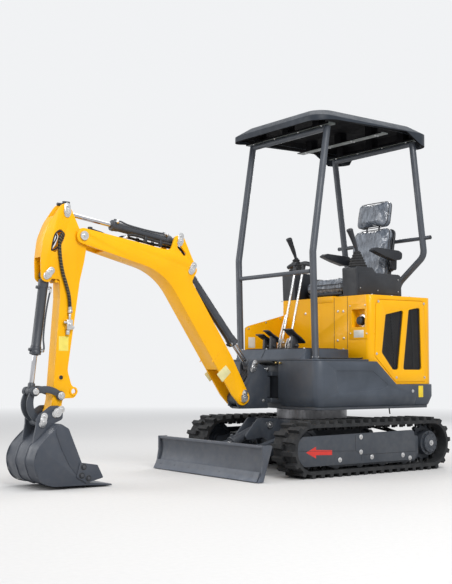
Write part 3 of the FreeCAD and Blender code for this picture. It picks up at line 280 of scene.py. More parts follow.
def startMaterial(name, color, roughness, metallic=0.0):
    material = bpy.data.materials.new(name)
    material.use_nodes = True
    shader = material.node_tree.nodes["Principled BSDF"]
    shader.inputs["Base Color"].default_value = (*color, 1)
    shader.inputs["Roughness"].default_value = roughness
    shader.inputs["Metallic"].default_value = metallic
    return material, material.node_tree, shader


def noiseOf(tree, scale, detail=4.0, stretch=(1, 1, 1)):
    # Cloudy pattern in the object's own space; scale is in repeats a metre.
    coords = tree.nodes.new("ShaderNodeTexCoord")
    mapping = tree.nodes.new("ShaderNodeMapping")
    mapping.inputs["Scale"].default_value = stretch
    noise = tree.nodes.new("ShaderNodeTexNoise")
    noise.inputs["Scale"].default_value = scale
    noise.inputs["Detail"].default_value = detail
    tree.links.new(coords.outputs["Object"], mapping.inputs["Vector"])
    tree.links.new(mapping.outputs["Vector"], noise.inputs["Vector"])
    return noise.outputs["Fac"]


def spread(tree, value, low, high, outLow=0.0, outHigh=1.0):
    # Stretches a pattern so that low and high become the given ends.
    node = tree.nodes.new("ShaderNodeMapRange")
    for socket, number in zip(("From Min", "From Max", "To Min", "To Max"), (low, high, outLow, outHigh)):
        node.inputs[socket].default_value = number
    tree.links.new(value, node.inputs["Value"])
    return node.outputs["Result"]


def heightOf(tree, low, high):
    # 0 to 1 between two heights above the ground, in metres.
    coords = tree.nodes.new("ShaderNodeTexCoord")
    split = tree.nodes.new("ShaderNodeSeparateXYZ")
    tree.links.new(coords.outputs["Object"], split.inputs["Vector"])
    return spread(tree, split.outputs["Z"], low, high)


def combine(tree, first, second, operation="MULTIPLY"):
    node = tree.nodes.new("ShaderNodeMath")
    node.operation = operation
    node.use_clamp = True
    for socket, value in zip(node.inputs, (first, second)):
        if isinstance(value, (int, float)):
            socket.default_value = value
        else:
            tree.links.new(value, socket)
    return node.outputs[0]


def blendColor(tree, factor, first, second):
    # first and second are colours or colour outputs.
    node = tree.nodes.new("ShaderNodeMix")
    node.data_type = "RGBA"
    tree.links.new(factor, node.inputs["Factor"])
    for socket, value in zip([socket for socket in node.inputs if socket.type == "RGBA"], (first, second)):
        if isinstance(value, tuple):
            socket.default_value = (*value, 1)
        else:
            tree.links.new(value, socket)
    return [socket for socket in node.outputs if socket.type == "RGBA"][0]


def addBump(tree, shader, height, depth, strength):
    # Relief of that depth in millimetres.
    node = tree.nodes.new("ShaderNodeBump")
    node.inputs["Strength"].default_value = strength
    node.inputs["Distance"].default_value = depth * mm
    tree.links.new(height, node.inputs["Height"])
    tree.links.new(node.outputs["Normal"], shader.inputs["Normal"])


def driftTone(tree, scale, color, other):
    # Colour that drifts slowly over to another.
    return blendColor(tree, spread(tree, noiseOf(tree, scale), 0.35, 0.7), color, other)


def driftGloss(tree, shader, scale, detail, low, high):
    # Roughness that wanders between two values.
    tree.links.new(spread(tree, noiseOf(tree, scale, detail), 0.3, 0.7, low, high),
                   shader.inputs["Roughness"])


def layDust(tree, tone, dust, tint, scale, low, high):
    # Dust in blotches over a tone, up to that share.
    return blendColor(tree, combine(tree, spread(tree, noiseOf(tree, scale, 8), low, high), dust), tone, tint)


def glossPaint(name, color, shade, roughness=0.32):
    # Sprayed paint: faint orange peel and a slow drift of tone.
    material, tree, shader = startMaterial(name, color, roughness)
    tree.links.new(driftTone(tree, 3.0, color, shade), shader.inputs["Base Color"])
    driftGloss(tree, shader, 9, 4, roughness - 0.05, roughness + 0.1)
    shader.inputs["Specular IOR Level"].default_value = 0.22
    shader.inputs["Coat Weight"].default_value = 0.10
    shader.inputs["Coat Roughness"].default_value = 0.10
    addBump(tree, shader, noiseOf(tree, 420, 2), 0.25, 0.12)
    return material


def satinPaint(name, color, shade, dust, wearLow=0.0, wearHigh=0.0):
    # Dark satin paint on steel plate, with dust in blotches and, between two heights, metal rubbed bare.
    material, tree, shader = startMaterial(name, color, 0.42)
    tone = layDust(tree, driftTone(tree, 5, color, shade), dust, (0.20, 0.18, 0.155), 30, 0.45, 0.8)
    if wearHigh:
        rub = combine(tree, combine(tree, 1.0, heightOf(tree, wearLow, wearHigh), "SUBTRACT"),
                      spread(tree, noiseOf(tree, 14, 5, (1, 0.12, 1)), 0.3, 0.75))
        tone = blendColor(tree, combine(tree, rub, 0.55), tone, (0.15, 0.18, 0.24))
        tree.links.new(combine(tree, rub, 0.35), shader.inputs["Metallic"])
    tree.links.new(tone, shader.inputs["Base Color"])
    driftGloss(tree, shader, 16, 5, 0.34, 0.58)
    addBump(tree, shader, noiseOf(tree, 260, 3), 0.3, 0.18)
    return material


def grainedPlastic(name, color, roughness=0.55, grain=650, shine=0.5):
    # Moulded plastic with a fine leather-like grain.
    material, tree, shader = startMaterial(name, color, roughness)
    shader.inputs["Specular IOR Level"].default_value = shine
    light = tuple(min(1, c * 1.35 + 0.004) for c in color)
    tree.links.new(driftTone(tree, 6, color, light), shader.inputs["Base Color"])
    driftGloss(tree, shader, 20, 4, roughness - 0.08, roughness + 0.1)
    addBump(tree, shader, noiseOf(tree, grain, 2), 0.4, 0.35)
    return material


def rubberMix(name, color, dust):
    # Black rubber, greyed by dust and scuffed.
    material, tree, shader = startMaterial(name, color, 0.8)
    tree.links.new(layDust(tree, color, dust, (0.17, 0.165, 0.155), 18, 0.38, 0.72),
                   shader.inputs["Base Color"])
    driftGloss(tree, shader, 40, 5, 0.66, 0.92)
    addBump(tree, shader, noiseOf(tree, 300, 4), 0.6, 0.3)
    return material


def metal(name, color, roughness, drift=0.08):
    # Bare or plated metal.
    material, tree, shader = startMaterial(name, color, roughness, 1.0)
    driftGloss(tree, shader, 60, 5, max(0.02, roughness - drift), roughness + drift)
    dark = tuple(c * 0.82 for c in color)
    tree.links.new(driftTone(tree, 12, color, dark), shader.inputs["Base Color"])
    return material


def sticker(name, color):
    # Printed film with a smooth face and a little wear of its tone.
    material, tree, shader = startMaterial(name, color, 0.35)
    dull = tuple(c * 0.88 for c in color)
    tree.links.new(driftTone(tree, 30, color, dull), shader.inputs["Base Color"])
    driftGloss(tree, shader, 80, 3, 0.28, 0.45)
    return material


def filmVinyl(name, color, glare):
    # Dark vinyl under loose clear film, glossy over all; pale streaks in its colour are painted reflections
    # of the film's glints.
    material, tree, shader = startMaterial(name, color, 0.25)
    # painted reflection: noise streaks turn the colour towards the pale glare tone
    filmGlints = spread(tree, noiseOf(tree, 46, 6, (1, 1, 0.4)), 0.40, 0.74)
    tree.links.new(blendColor(tree, combine(tree, filmGlints, 0.75), color, glare), shader.inputs["Base Color"])
    driftGloss(tree, shader, 40, 5, 0.12, 0.4)
    shader.inputs["Coat Weight"].default_value = 0.55
    shader.inputs["Coat Roughness"].default_value = 0.12
    addBump(tree, shader, noiseOf(tree, 60, 6, (1, 1, 0.5)), 2.0, 0.5)
    return material


finishes = {
    "yellow": glossPaint("yellowPaint", (0.95, 0.465, 0.002), (0.88, 0.415, 0.001)),
    "anthracite": satinPaint("anthraciteSteel", (0.034, 0.041, 0.053), (0.047, 0.055, 0.068), 0.1),
    "ramGrey": satinPaint("cylinderGrey", (0.035, 0.040, 0.050), (0.050, 0.056, 0.066), 0.06),
    "bladePaint": satinPaint("bladeSteel", (0.052, 0.061, 0.078), (0.068, 0.077, 0.094), 0.12, 0.015, 0.10),
    "bucketPaint": satinPaint("bucketSteel", (0.038, 0.046, 0.062), (0.050, 0.058, 0.074), 0.08),
    "bladeEdge": satinPaint("bladeEdgeSteel", (0.075, 0.088, 0.110), (0.11, 0.12, 0.14), 0.15, 0.005, 0.04),
    "skirt": grainedPlastic("skirtMoulding", (0.040, 0.050, 0.066), 0.48),
    "blackPlastic": grainedPlastic("blackMoulding", (0.010, 0.012, 0.016), 0.45, 900),
    "roof": grainedPlastic("roofMoulding", (0.014, 0.019, 0.027), 0.5, shine=0.28),
    # near-black painted shade for the faces under and inside the roof
    "roofPaintedShade": grainedPlastic("paintedShadeUnderRoof", (0.003, 0.003, 0.004), 0.8, shine=0.08),
    "track": rubberMix("trackRubber", (0.009, 0.010, 0.012), 0.10),
    "hose": rubberMix("hoseRubber", (0.012, 0.012, 0.013), 0.08),
    "wrap": grainedPlastic("hoseWrap", (0.16, 0.115, 0.03), 0.4, 500),
    "bootRubber": rubberMix("bootRubber", (0.012, 0.012, 0.013), 0.05),
    "grille": satinPaint("grilleSheet", (0.012, 0.012, 0.014), (0.02, 0.02, 0.022), 0.05),
    "crossBars": satinPaint("crossBarPaint", (0.10, 0.115, 0.11), (0.12, 0.135, 0.13), 0.05),
    "darkBolt": satinPaint("darkBoltPaint", (0.035, 0.038, 0.046), (0.06, 0.064, 0.073), 0.1),
    "piping": grainedPlastic("seatPiping", (0.02, 0.021, 0.024), 0.5, 500),
    # the pale second colour is a painted reflection on the seat's film
    "seatVinyl": filmVinyl("filmedVinyl", (0.100, 0.115, 0.140), (0.33, 0.37, 0.43)),
    "paleSticker": sticker("paleSticker", (0.78, 0.77, 0.70)),
    "creamSticker": sticker("creamSticker", (0.84, 0.78, 0.40)),
    "lemonSticker": sticker("lemonSticker", (0.86, 0.72, 0.13)),
    "redSticker": sticker("redSticker", (0.62, 0.03, 0.02)),
    "markerSticker": sticker("markerSticker", (0.85, 0.62, 0.02)),
    "brass": metal("brassFitting", (0.62, 0.45, 0.18), 0.3, 0.08),
    "floorMat": rubberMix("floorMat", (0.02, 0.02, 0.022), 0.15),
    "tubes": satinPaint("tubeGrey", (0.046, 0.054, 0.068), (0.060, 0.068, 0.082), 0.05),
    "chrome": metal("hardChrome", (0.56, 0.56, 0.58), 0.09, 0.03),
    "zinc": metal("zincPlate", (0.66, 0.66, 0.66), 0.32, 0.1),
    "bareSteel": metal("oiledSteel", (0.22, 0.22, 0.23), 0.38, 0.1),
}
print("materials ready")


# camera, floor and light

cameraFit = {
    "place": (4560.8, 5127.3, 650.4),
    "yaw": -126.8484, "pitch": 4.2416, "roll": 0.2051,
    "focalPixels": 1018.3, "tallSide": 584, "shiftPixels": 1.5,
    "sensor": 36.0,
}


def addCamera():
    clearSelection()
    rotation = (math.radians(90 + cameraFit["pitch"]), 0, math.radians(cameraFit["yaw"] - 90))
    bpy.ops.object.camera_add(location=Vector(cameraFit["place"]) * mm, rotation=rotation)
    camera = bpy.context.object
    camera.name = "photoCamera"
    camera.rotation_euler.rotate_axis("Z", math.radians(cameraFit["roll"]))
    camera.data.sensor_width = cameraFit["sensor"]
    camera.data.lens = cameraFit["focalPixels"] * cameraFit["sensor"] / cameraFit["tallSide"]
    camera.data.shift_y = cameraFit["shiftPixels"] / cameraFit["tallSide"]
    bpy.context.scene.camera = camera


lightPlan = {
    # name: place, aim, side length, watts
    "keyPanel": ((2.6, 5.4, 4.8), (0.4, 0, 0.9), 3.0, 310),
    "fillPanel": ((5.2, -2.6, 2.6), (0.5, 0, 0.9), 3.2, 110),
    "topPanel": ((-0.4, 0.4, 5.6), (0.0, 0, 0.6), 4.0, 150),
    "backPanel": ((-4.6, -3.4, 3.6), (-0.2, 0, 1.0), 2.6, 110),
}
world = {"level": 0.5, "sky": (0.93, 0.95, 1.0, 1), "backdrop": (0.88, 0.89, 0.905, 1)}
floorPlan = {"size": 60, "color": (0.62, 0.61, 0.60), "dark": (0.60, 0.595, 0.585),
             "light": (0.66, 0.655, 0.645),
             "fadeStart": 3.5, "fadeEnd": 11.0}


def addLamps():
    for name, (place, aim, side, watts) in lightPlan.items():
        clearSelection()
        turn = (Vector(aim) - Vector(place)).to_track_quat("-Z", "Y").to_euler()
        bpy.ops.object.light_add(type="AREA", location=place, rotation=turn)
        lamp = bpy.context.object
        lamp.name = name
        lamp.data.shape = "SQUARE"
        lamp.data.size = side
        lamp.data.energy = watts


def addWorld():
    # Soft light all round, and a pale backdrop for the camera and for reflections.
    scene = bpy.context.scene
    scene.world = scene.world or bpy.data.worlds.new("studio")
    scene.world.use_nodes = True
    tree = scene.world.node_tree
    tree.nodes.clear()
    out = tree.nodes.new("ShaderNodeOutputWorld")
    sky = tree.nodes.new("ShaderNodeBackground")
    sky.inputs["Color"].default_value = world["sky"]
    sky.inputs["Strength"].default_value = world["level"]
    seen = tree.nodes.new("ShaderNodeBackground")
    seen.inputs["Color"].default_value = world["backdrop"]
    path = tree.nodes.new("ShaderNodeLightPath")
    pick = tree.nodes.new("ShaderNodeMixShader")
    mirrorRay = combine(tree, path.outputs["Is Glossy Ray"], path.outputs["Is Transmission Ray"], "ADD")
    tree.links.new(combine(tree, path.outputs["Is Camera Ray"], mirrorRay, "ADD"), pick.inputs[0])
    tree.links.new(sky.outputs[0], pick.inputs[1])
    tree.links.new(seen.outputs[0], pick.inputs[2])
    tree.links.new(pick.outputs[0], out.inputs["Surface"])


def addFloor():
    clearSelection()
    bpy.ops.mesh.primitive_plane_add(size=floorPlan["size"], location=(0, 0, 0))
    floor = bpy.context.object
    floor.name = "studioFloor"
    material, tree, shader = startMaterial("paleFloor", floorPlan["color"], 0.9)
    tree.links.new(blendColor(tree, noiseOf(tree, 40, 6), floorPlan["dark"], floorPlan["light"]),
                   shader.inputs["Base Color"])
    coords = tree.nodes.new("ShaderNodeTexCoord")
    reach = tree.nodes.new("ShaderNodeVectorMath")
    reach.operation = "LENGTH"
    tree.links.new(coords.outputs["Object"], reach.inputs[0])
    far = spread(tree, reach.outputs["Value"], floorPlan["fadeStart"], floorPlan["fadeEnd"])
    path = tree.nodes.new("ShaderNodeLightPath")
    seenRay = combine(tree, path.outputs["Is Camera Ray"], path.outputs["Is Glossy Ray"], "ADD")
    glow = tree.nodes.new("ShaderNodeEmission")
    glow.inputs["Color"].default_value = world["backdrop"]
    mix = tree.nodes.new("ShaderNodeMixShader")
    tree.links.new(combine(tree, far, seenRay), mix.inputs[0])
    tree.links.new(shader.outputs[0], mix.inputs[1])
    tree.links.new(glow.outputs[0], mix.inputs[2])
    tree.links.new(mix.outputs[0], tree.nodes["Material Output"].inputs["Surface"])
    floor.data.materials.append(material)


bpy.context.scene.view_settings.view_transform = "Standard"
addCamera()
addLamps()
addWorld()
addFloor()
print("camera, light and floor set")


# CAD nodes that keep their shape, and those that get rounded edges

plainNodes = {
    # node: finish
    "track_belt_left": "track", "track_belt_right": "track",
    "idlers": "anthracite", "drive_sprockets": "anthracite", "rollers": "anthracite",
    "slew_ring": "bareSteel",
    "blade_pins": "zinc", "blade_eye_pins": "zinc", "post_pins": "zinc", "boom_pins": "zinc",
    "arm_pins": "zinc", "bucket_pins": "zinc",
    "engine_block": "bareSteel",
}
softNodes = {
    # node: finish, edge width
    "car_body": ("anthracite", 3.0), "track_frames": ("anthracite", 2.0), "track_covers": ("anthracite", 2.5),
    "blade": ("bladePaint", 1.5), "blade_arms": ("anthracite", 2.0),
    "blade_cylinder_barrel": ("ramGrey", 1.0), "boom_cylinder_barrel": ("ramGrey", 1.0),
    "arm_cylinder_barrel": ("ramGrey", 1.0), "bucket_cylinder_barrel": ("ramGrey", 1.0),
    "house_frame": ("anthracite", 2.0), "skirt_left": ("skirt", 4.0), "skirt_right": ("skirt", 4.0),
    "counterweight": ("skirt", 6.0), "hood_shell": ("yellow", 5.0), "hood_panel_left": ("yellow", 3.0),
    "hood_panel_right": ("yellow", 3.0), "rear_door": ("yellow", 5.0), "side_tank": ("yellow", 6.0),
    "floor_pan": ("skirt", 3.0),
    "console_left": ("blackPlastic", 6.0), "console_right": ("blackPlastic", 6.0),
    "canopy_frame": ("tubes", 1.0), "swing_post": ("anthracite", 2.5),
    "boom": ("yellow", 2.0), "arm": ("yellow", 1.5), "tipping_levers": ("anthracite", 1.5),
    "bucket_link": ("anthracite", 1.5), "bucket": ("bucketPaint", 1.2),
}


def dressNodes():
    for name, finishName in plainNodes.items():
        mesh = nodes[name].data
        mesh.materials.clear()
        mesh.materials.append(finishes[finishName])
        smooth(nodes[name], 30)
    for name, (finishName, width) in softNodes.items():
        softCopy(name, finishName, width)


# small shapes that come back on many pieces

flanks = (1, -1)  # left and right


def span(side, near, far):
    # Low and high end of a stretch across that flank.
    return sorted((side * near, side * far))


def onFlank(points, side):
    return [(x, side * y, z) for x, y, z in points]


def lathe(profile, start, end, sides=32, ring=False):
    # Turned piece: (radius, height) points in millimetres, spun about the line from start to end.
    clearSelection()
    bpy.ops.mesh.primitive_circle_add(vertices=len(profile), radius=1, fill_type="NOTHING")
    piece = bpy.context.object
    for corner, (radius, height) in zip(piece.data.vertices, profile):
        corner.co = Vector((radius, 0, height)) * mm
    for edge in piece.data.edges:
        edge.select = False
    for corner in piece.data.vertices:
        corner.select = corner.index in (0, len(profile) - 1)
    bpy.ops.object.mode_set(mode="EDIT")
    if not ring:
        bpy.ops.mesh.select_mode(type="EDGE")
        bpy.ops.mesh.delete(type="EDGE")
        bpy.ops.mesh.select_mode(type="VERT")
    bpy.ops.mesh.select_all(action="SELECT")
    bpy.ops.mesh.spin(steps=sides, angle=math.tau, center=(0, 0, 0), axis=(0, 0, 1))
    bpy.ops.mesh.select_all(action="SELECT")
    bpy.ops.mesh.remove_doubles(threshold=0.000001)
    bpy.ops.mesh.normals_make_consistent(inside=False)
    bpy.ops.object.mode_set(mode="OBJECT")
    piece.rotation_euler = (Vector(end) - Vector(start)).to_track_quat("Z", "Y").to_euler()
    piece.location = Vector(start) * mm
    return freeze(piece)


def turnedOut(profile, at, side, sides=32, ring=False):
    # Turned piece that stands outwards on a flank; its foot is given for the left one.
    x, y, z = at
    return lathe(profile, (x, side * y, z), (x, side * (y + 1), z), sides, ring)


def headOut(at, side, size, height):
    return hexHead((at[0], side * at[1], at[2]), (0, side, 0), size, height)


def plateOut(points, side, near, far, edge=0.0, segments=2):
    return plate(points, *span(side, near, far), "Y", edge, segments)


def oblong(middle, length, width, angle, turns=8):
    # Outline with round ends, its long axis at that angle in degrees from the first axis.
    tilt = math.radians(angle)
    along = Vector((math.cos(tilt), math.sin(tilt)))
    out = []
    for sign in (1, -1):
        hub = Vector(middle) + along * (sign * (length - width) / 2)
        for step in range(turns + 1):
            turn = tilt + math.pi * (step / turns - 0.5 + (sign < 0))
            out.append(tuple(hub + Vector((math.cos(turn), math.sin(turn))) * (width / 2)))
    return out


def boxOutline(a0, a1, b0, b1, corner=0):
    return rounded([(a0, b0, corner), (a1, b0, corner), (a1, b1, corner), (a0, b1, corner)])


def around(count, radius, shift=0.0):
    # Places on a circle, as pairs.
    turns = [math.tau * (i + shift) / count for i in range(count)]
    return [(radius * math.cos(turn), radius * math.sin(turn)) for turn in turns]


def hoseEnd(at, onward, radius, length=30):
    # Crimped sleeve and hexagon nut where a hose meets its port.
    at, onward = Vector(at), Vector(onward).normalized()
    swell = radius * 1.28
    sleeve = lathe([(0, 0), (swell, 0), (radius * 1.34, 2), (swell, length * 0.55), (0, length * 0.55)],
                   at, at + onward, 20)
    return joinPieces([sleeve, drum(at - onward * (length * 0.45), at, radius * 1.55, 0.8, 6)])


def addHose(name, body, points, radius, sides=5):
    return finish(tube(points, radius, sides), name, body, "hose", 60)


def addHoseEnds(name, body, points, radius):
    first, second, last, before = [Vector(points[i]) for i in (0, 1, -1, -2)]
    ends = [hoseEnd(first, second - first, radius), hoseEnd(last, before - last, radius)]
    finish(ends, name + "Fittings", body, "zinc", 40)


# bolts, blank signs and weld beads, each in one table

boltRows = {
    # name: body, direction, size, places
    "hoodFrontBolts": ("house", (1, 0, 0), 8, [(-60, y, z) for y, z in (
        (196, 1033), (248, 1031), (193, 840), (252, 854), (-127, 1030), (453, 1063), (315, 1063), (318, 884),
        (464, 880))]),
    "hoodTopBolts": ("house", (0, 0, 1), 8, [(x, side * 452, 1130) for x in (-120, -300, -470)
                                             for side in flanks]),
    "sideCoverBolts": ("house", (0, 1, 0), 7, [(261, -350, 927), (109, -350, 973), (-20, -350, 1005)]),
    "floorBolts": ("house", (0, 0, 1), 8, [(x, y, 779) for x, y in (
        (340, -315), (340, -60), (340, 315), (10, -325), (10, 320))]),
    "postFootBolts": ("house", (0, 0, 1), 5, [(305 + dx, side * (380 + dy), 724.6) for side in flanks
                                              for dx, dy in ((25, 0), (-25, 0), (0, 25), (0, -25))]),
    "rearFootBolts": ("house", (0, 0, 1), 6, [(-610 + dx, side * 190 + dy, 1142) for side in flanks
                                              for dx in (-33, 33) for dy in (-33, 33)]),
    "roofBolts": ("house", (0, 0, -1), 8, [(x, y, z) for y in (-348, -121, 121, 348) for x, z in (
        (221, 2208.3), (-287, 2214), (-263, 2214), (-558, 2208.3))]),
}
flankBolts = {
    # name: body, places on the left flank with size and height
    "bladePivotBolts": ("undercarriage", [((380, 221, 185), 11, 7)]),
    "bladeRamBolts": ("undercarriage", [((410, 65, 296), 9, 6)]),
    "bladeEyeBolts": ("blade", [((778, 50, 150), 9, 6)]),
    "postBolts": ("swing_post", [((420, 48, 651), 12, 8), ((452, 48, 452), 10, 6)]),
    "skirtBolts": ("house", [((-440, 500, 511), 10, 6.2)]),
    "consoleBolts": ("house", [((x, 372, z), 7, 4.34) for x, z in (
        (-90, 1180), (-250, 1170), (-440, 1170), (-440, 1250))]),
}
boltSlimness = 0.62  # height of a head over its size


def addBolts():
    for name, (body, direction, size, places) in boltRows.items():
        finish([hexHead(at, direction, size, size * boltSlimness) for at in places], name, body, "zinc", 40)
    for name, (body, places) in flankBolts.items():
        heads = [headOut(at, side, size, height) for side in flanks for at, size, height in places]
        finish(heads, name, body, "zinc", 40)


blankSigns = {
    # name: body, finish, outline, stretches along the axis, axis, rounding
    "armBlankSticker": ("arm", "lemonSticker", boxOutline(1849, 1909, 748, 829, 4), [(42, 42.6)], "Y", 0.2),
    "boomPaleBands": ("boom", "creamSticker", rounded([(836, 618, 3), (767, 674, 3), (727, 630, 3),
                                                       (793, 570, 3)]),
                      [(65, 65.7), (-65.7, -65)], "Y", 0.2),
    "hoodBlankSign": ("house", "paleSticker", boxOutline(347, 437, 856, 904, 3), [(-57, -56.5)], "X", 0.1),
    "weightMarkers": ("house", "markerSticker", boxOutline(-538, -494, 470, 545, 3),
                      [(500, 500.6), (-500.6, -500)], "Y", 0.1),
    "sideCoverSign": ("house", "paleSticker", boxOutline(206, 264, 795, 868, 3), [(-350, -349.4)], "Y", 0.1),
}


def addBlankSigns():
    for name, (body, finishName, outline, stretches, across, edge) in blankSigns.items():
        finish([plate(outline, low, high, across, edge) for low, high in stretches], name, body, finishName)


weldBeads = {
    # name: body, finish, beads on each flank: radius, distance from the middle, points (x, z)
    "boomWeldSeams": ("boom", "yellow", [(2.6, 65.4, ((872, 693), (846, 722), (819, 752)))]),
    "boomFilletWelds": ("boom", "yellow", [(3.0, 53.2, ((742, 716), (881, 942), (1020, 1168))),
                                           (3.0, 53.2, ((1250, 1345), (1510, 1389), (1770, 1433)))]),
    "bucketWelds": ("bucket", "bucketPaint", [
        (2.6, 172.5, ((1995, 318), (2039, 280), (2085, 232), (2105, 190), (2111, 150), (2101, 96), (2077, 54),
                      (2039, 30), (1989, 20))),
        (3.2, 61, ((1994, 316), (2030, 284), (2072, 242))),
        (3.2, 75, ((1994, 316), (2030, 284), (2072, 242)))]),
    "bladeWelds": ("blade", "bladePaint", [(3.0, 536, ((881, 30), (866, 70), (856, 110), (853, 150),
                                                       (858, 196)))]),
}


def addWelds():
    for name, (body, finishName, beads) in weldBeads.items():
        finish([tube([(x, side * away, z) for x, z in points], radius, 3)
                for side in flanks for radius, away, points in beads], name, body, finishName, 60)


# cylinders

rams = {
    # pins of the tube and of the eye (x, z); rod, eye and tube radius; eye's half width;
    # tube's start and end; start of the bright bar; pipe's share of up and of left from the tube
    "boom": {"pins": ((1028, 1253), (536, 661)), "radii": (17, 28, 30), "half": 24, "tube": (58, 575),
             "bar": 330, "pipe": (0.7, 0.7)},
    "arm": {"pins": ((1115, 1422), (1869, 1531)), "radii": (14, 26, 27), "half": 24, "tube": (50, 448),
            "bar": 250, "pipe": (0.5, 0.85)},
    "bucket": {"pins": ((1983, 1170), (2054, 524)), "radii": (14, 24, 27), "half": 22, "tube": (45, 444),
               "bar": 230, "pipe": (-0.6, 0.8)},
    "blade": {"pins": ((410, 296), (778, 150)), "radii": (16, 26, 31), "half": 22, "tube": (45, 285),
              "bar": 200},
}


def addRamPipe(name, radius, start, along, out, first, last):
    # Steel pipe along the tube from the union at its gland end to the one near its foot.
    port, near = [start + along * run + out * (radius + 12) for run in (last - 22, first + 30)]
    lift = out * (radius + 9)
    pipe = [port + out * 8, port + out * 12 - along * 8, port + out * 8 - along * 30,
            start + along * (last - 95) + lift, start + along * (first + 120) + lift,
            near + out * 8 + along * 16]
    finish(tube(pipe, 5.0, 4), name + "RamPipe", name + "_ram_barrel", "ramGrey", 60)
    unions = [drum(spot - out * 3, spot + out * 11, 10.5, 0.8, 6) for spot in (port, near)]
    unions.append(drum(near + out * 8 + along * 4, near + out * 8 + along * 24, 8, 0.8, 6))
    finish(unions, name + "RamUnions", name + "_ram_barrel", "zinc", 40)


def addCylinders():
    for name, ram in rams.items():
        start, end = [Vector((x, 0, z)) for x, z in ram["pins"]]
        (rod, eye, radius), half, (first, last) = ram["radii"], ram["half"], ram["tube"]
        along = (end - start).normalized()
        up = Vector((-along.z, 0, along.x))
        rodBody, tubeBody = name + "_ram_rod", name + "_ram_barrel"
        bar = drum(start + along * ram["bar"], end - along * (eye - 6), rod - 0.4, 1.2, 40)
        finish(bar, name + "ChromeBar", rodBody, "chrome")
        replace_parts(bar, name + "_cylinder_rod")
        eyeRing = lathe([(15.2, -half), (eye - 3, -half), (eye, 3 - half), (eye, half - 3), (eye - 3, half),
                         (15.2, half)], end, end + Vector((0, 1, 0)), 40, ring=True)
        neck = lathe([(0, 0), (rod + 1.5, 0), (rod + 6, 7), (rod + 6, 30), (0, 30)],
                     end - along * (eye + 24), end)
        finish([eyeRing, neck], name + "RodEye", rodBody, "ramGrey")
        gland = lathe([(rod + 0.8, 0), (radius + 4, 0), (radius + 5, 1.5), (radius + 5, 20), (radius + 3, 22),
                       (rod + 5, 24), (rod + 3, 28), (rod + 0.8, 28)],
                      start + along * (last - 20), start + along * last, 40, ring=True)
        spokes = [up * a + Vector((0, b, 0)) for a, b in around(6, 1)]
        notch = start + along * (last - 10)
        notches = [drum(notch + spoke * (radius + 4.2), notch + spoke * (radius + 6.0), 4.5, 0.5, 12)
                   for spoke in spokes]
        bead = [(radius - 1, -3), (radius + 2.2, -2), (radius + 2.8, 0), (radius + 2.2, 2), (radius - 1, 3)]
        beads = [lathe(bead, start + along * run, start + along * (run + 1), 40)
                 for run in (first + 24, last - 42)]
        finish([gland] + notches + beads, name + "Gland", tubeBody, "ramGrey")
        nipple = lathe([(0, 0), (4.2, 0), (4.2, 3), (2.4, 4), (2.4, 7), (3.2, 8.5), (1.5, 11), (0, 11)],
                       end + along * (eye - 1), end + along * (eye + 1), 12)
        finish(nipple, name + "GreaseNipple", rodBody, "zinc")
        if "pipe" in ram:
            upShare, sideShare = ram["pipe"]
            out = (up * upShare + Vector((0, sideShare, 0))).normalized()
            addRamPipe(name, radius, start, along, out, first, last)


# pin plates

lockPlates = {
    "width": 40, "length": 84, "thickness": 5.0, "boltAway": 25,
    # name: body, middle (x, z), face y, angle
    "places": {
        "armTop": ("arm", (1869, 1531), 42, 90),
        "bucketRamBase": ("arm", (1983, 1170), 42, 132),
        "armRamBase": ("boom", (1115, 1422), 65, 100),
        "boomRamHead": ("boom", (1028, 1253), 65, 118),
        "boomFoot": ("boom", (627, 472), 69, 103),
        "boomRamFoot": ("swing_post", (536, 661), 48, 116),
        "bucketEar": ("bucket", (1930, 409), 74, 148),
        "bucketLink": ("bucket", (2015, 360), 74, 105),
    },
    "pinCap": [(0, -1), (17, -1), (17, 4.2), (15, 6), (5, 6), (4, 4.6), (0, 4.6)],
    "nipple": [(0, 0), (3.6, 0), (3.6, 3), (2.2, 4), (2.2, 6), (3, 7.5), (1.2, 9.5), (0, 9.5)],
}
tipPin = {"place": (1773, 65, 1400), "washer": [(0, 0), (22, 0), (22, 4), (20, 6), (14, 6), (12, 9), (0, 9)]}
leverPins = {"places": ((2054, 65, 524), (1899, 65, 500)),
             "head": [(0, 0), (18, 0), (18, 3), (15, 6), (9, 6), (8, 9), (0, 9)]}


def addLockPlates():
    for name, (body, (x, z), face, angle) in lockPlates["places"].items():
        tilt = math.radians(angle)
        away = Vector((math.cos(tilt), math.sin(tilt))) * lockPlates["boltAway"]
        outline = oblong(Vector((x, z)) + away * 0.35, lockPlates["length"], lockPlates["width"], angle)
        top = face + lockPlates["thickness"]
        made = []
        for side in flanks:
            made += [plateOut(outline, side, face - 0.2, top, 1.2),
                     headOut((x + away.x * 1.25, top, z + away.y * 1.25), side, 9, 6),
                     turnedOut(lockPlates["pinCap"], (x, top, z), side, 28),
                     turnedOut(lockPlates["nipple"], (x, top + 4, z), side, 12)]
        finish(made, name + "LockPlate", body, "zinc", 40)
    x, y, z = tipPin["place"]
    washers = [turnedOut(tipPin["washer"], (x, y, z), side, 40) for side in flanks]
    heads = [headOut((x, y + 9, z), side, 13, 8) for side in flanks]
    finish(washers + heads, "boomTipWasher", "boom", "zinc", 40)
    finish([turnedOut(leverPins["head"], at, side) for side in flanks for at in leverPins["places"]],
           "leverPinHeads", "tipping_levers", "zinc", 40)


# boom and arm

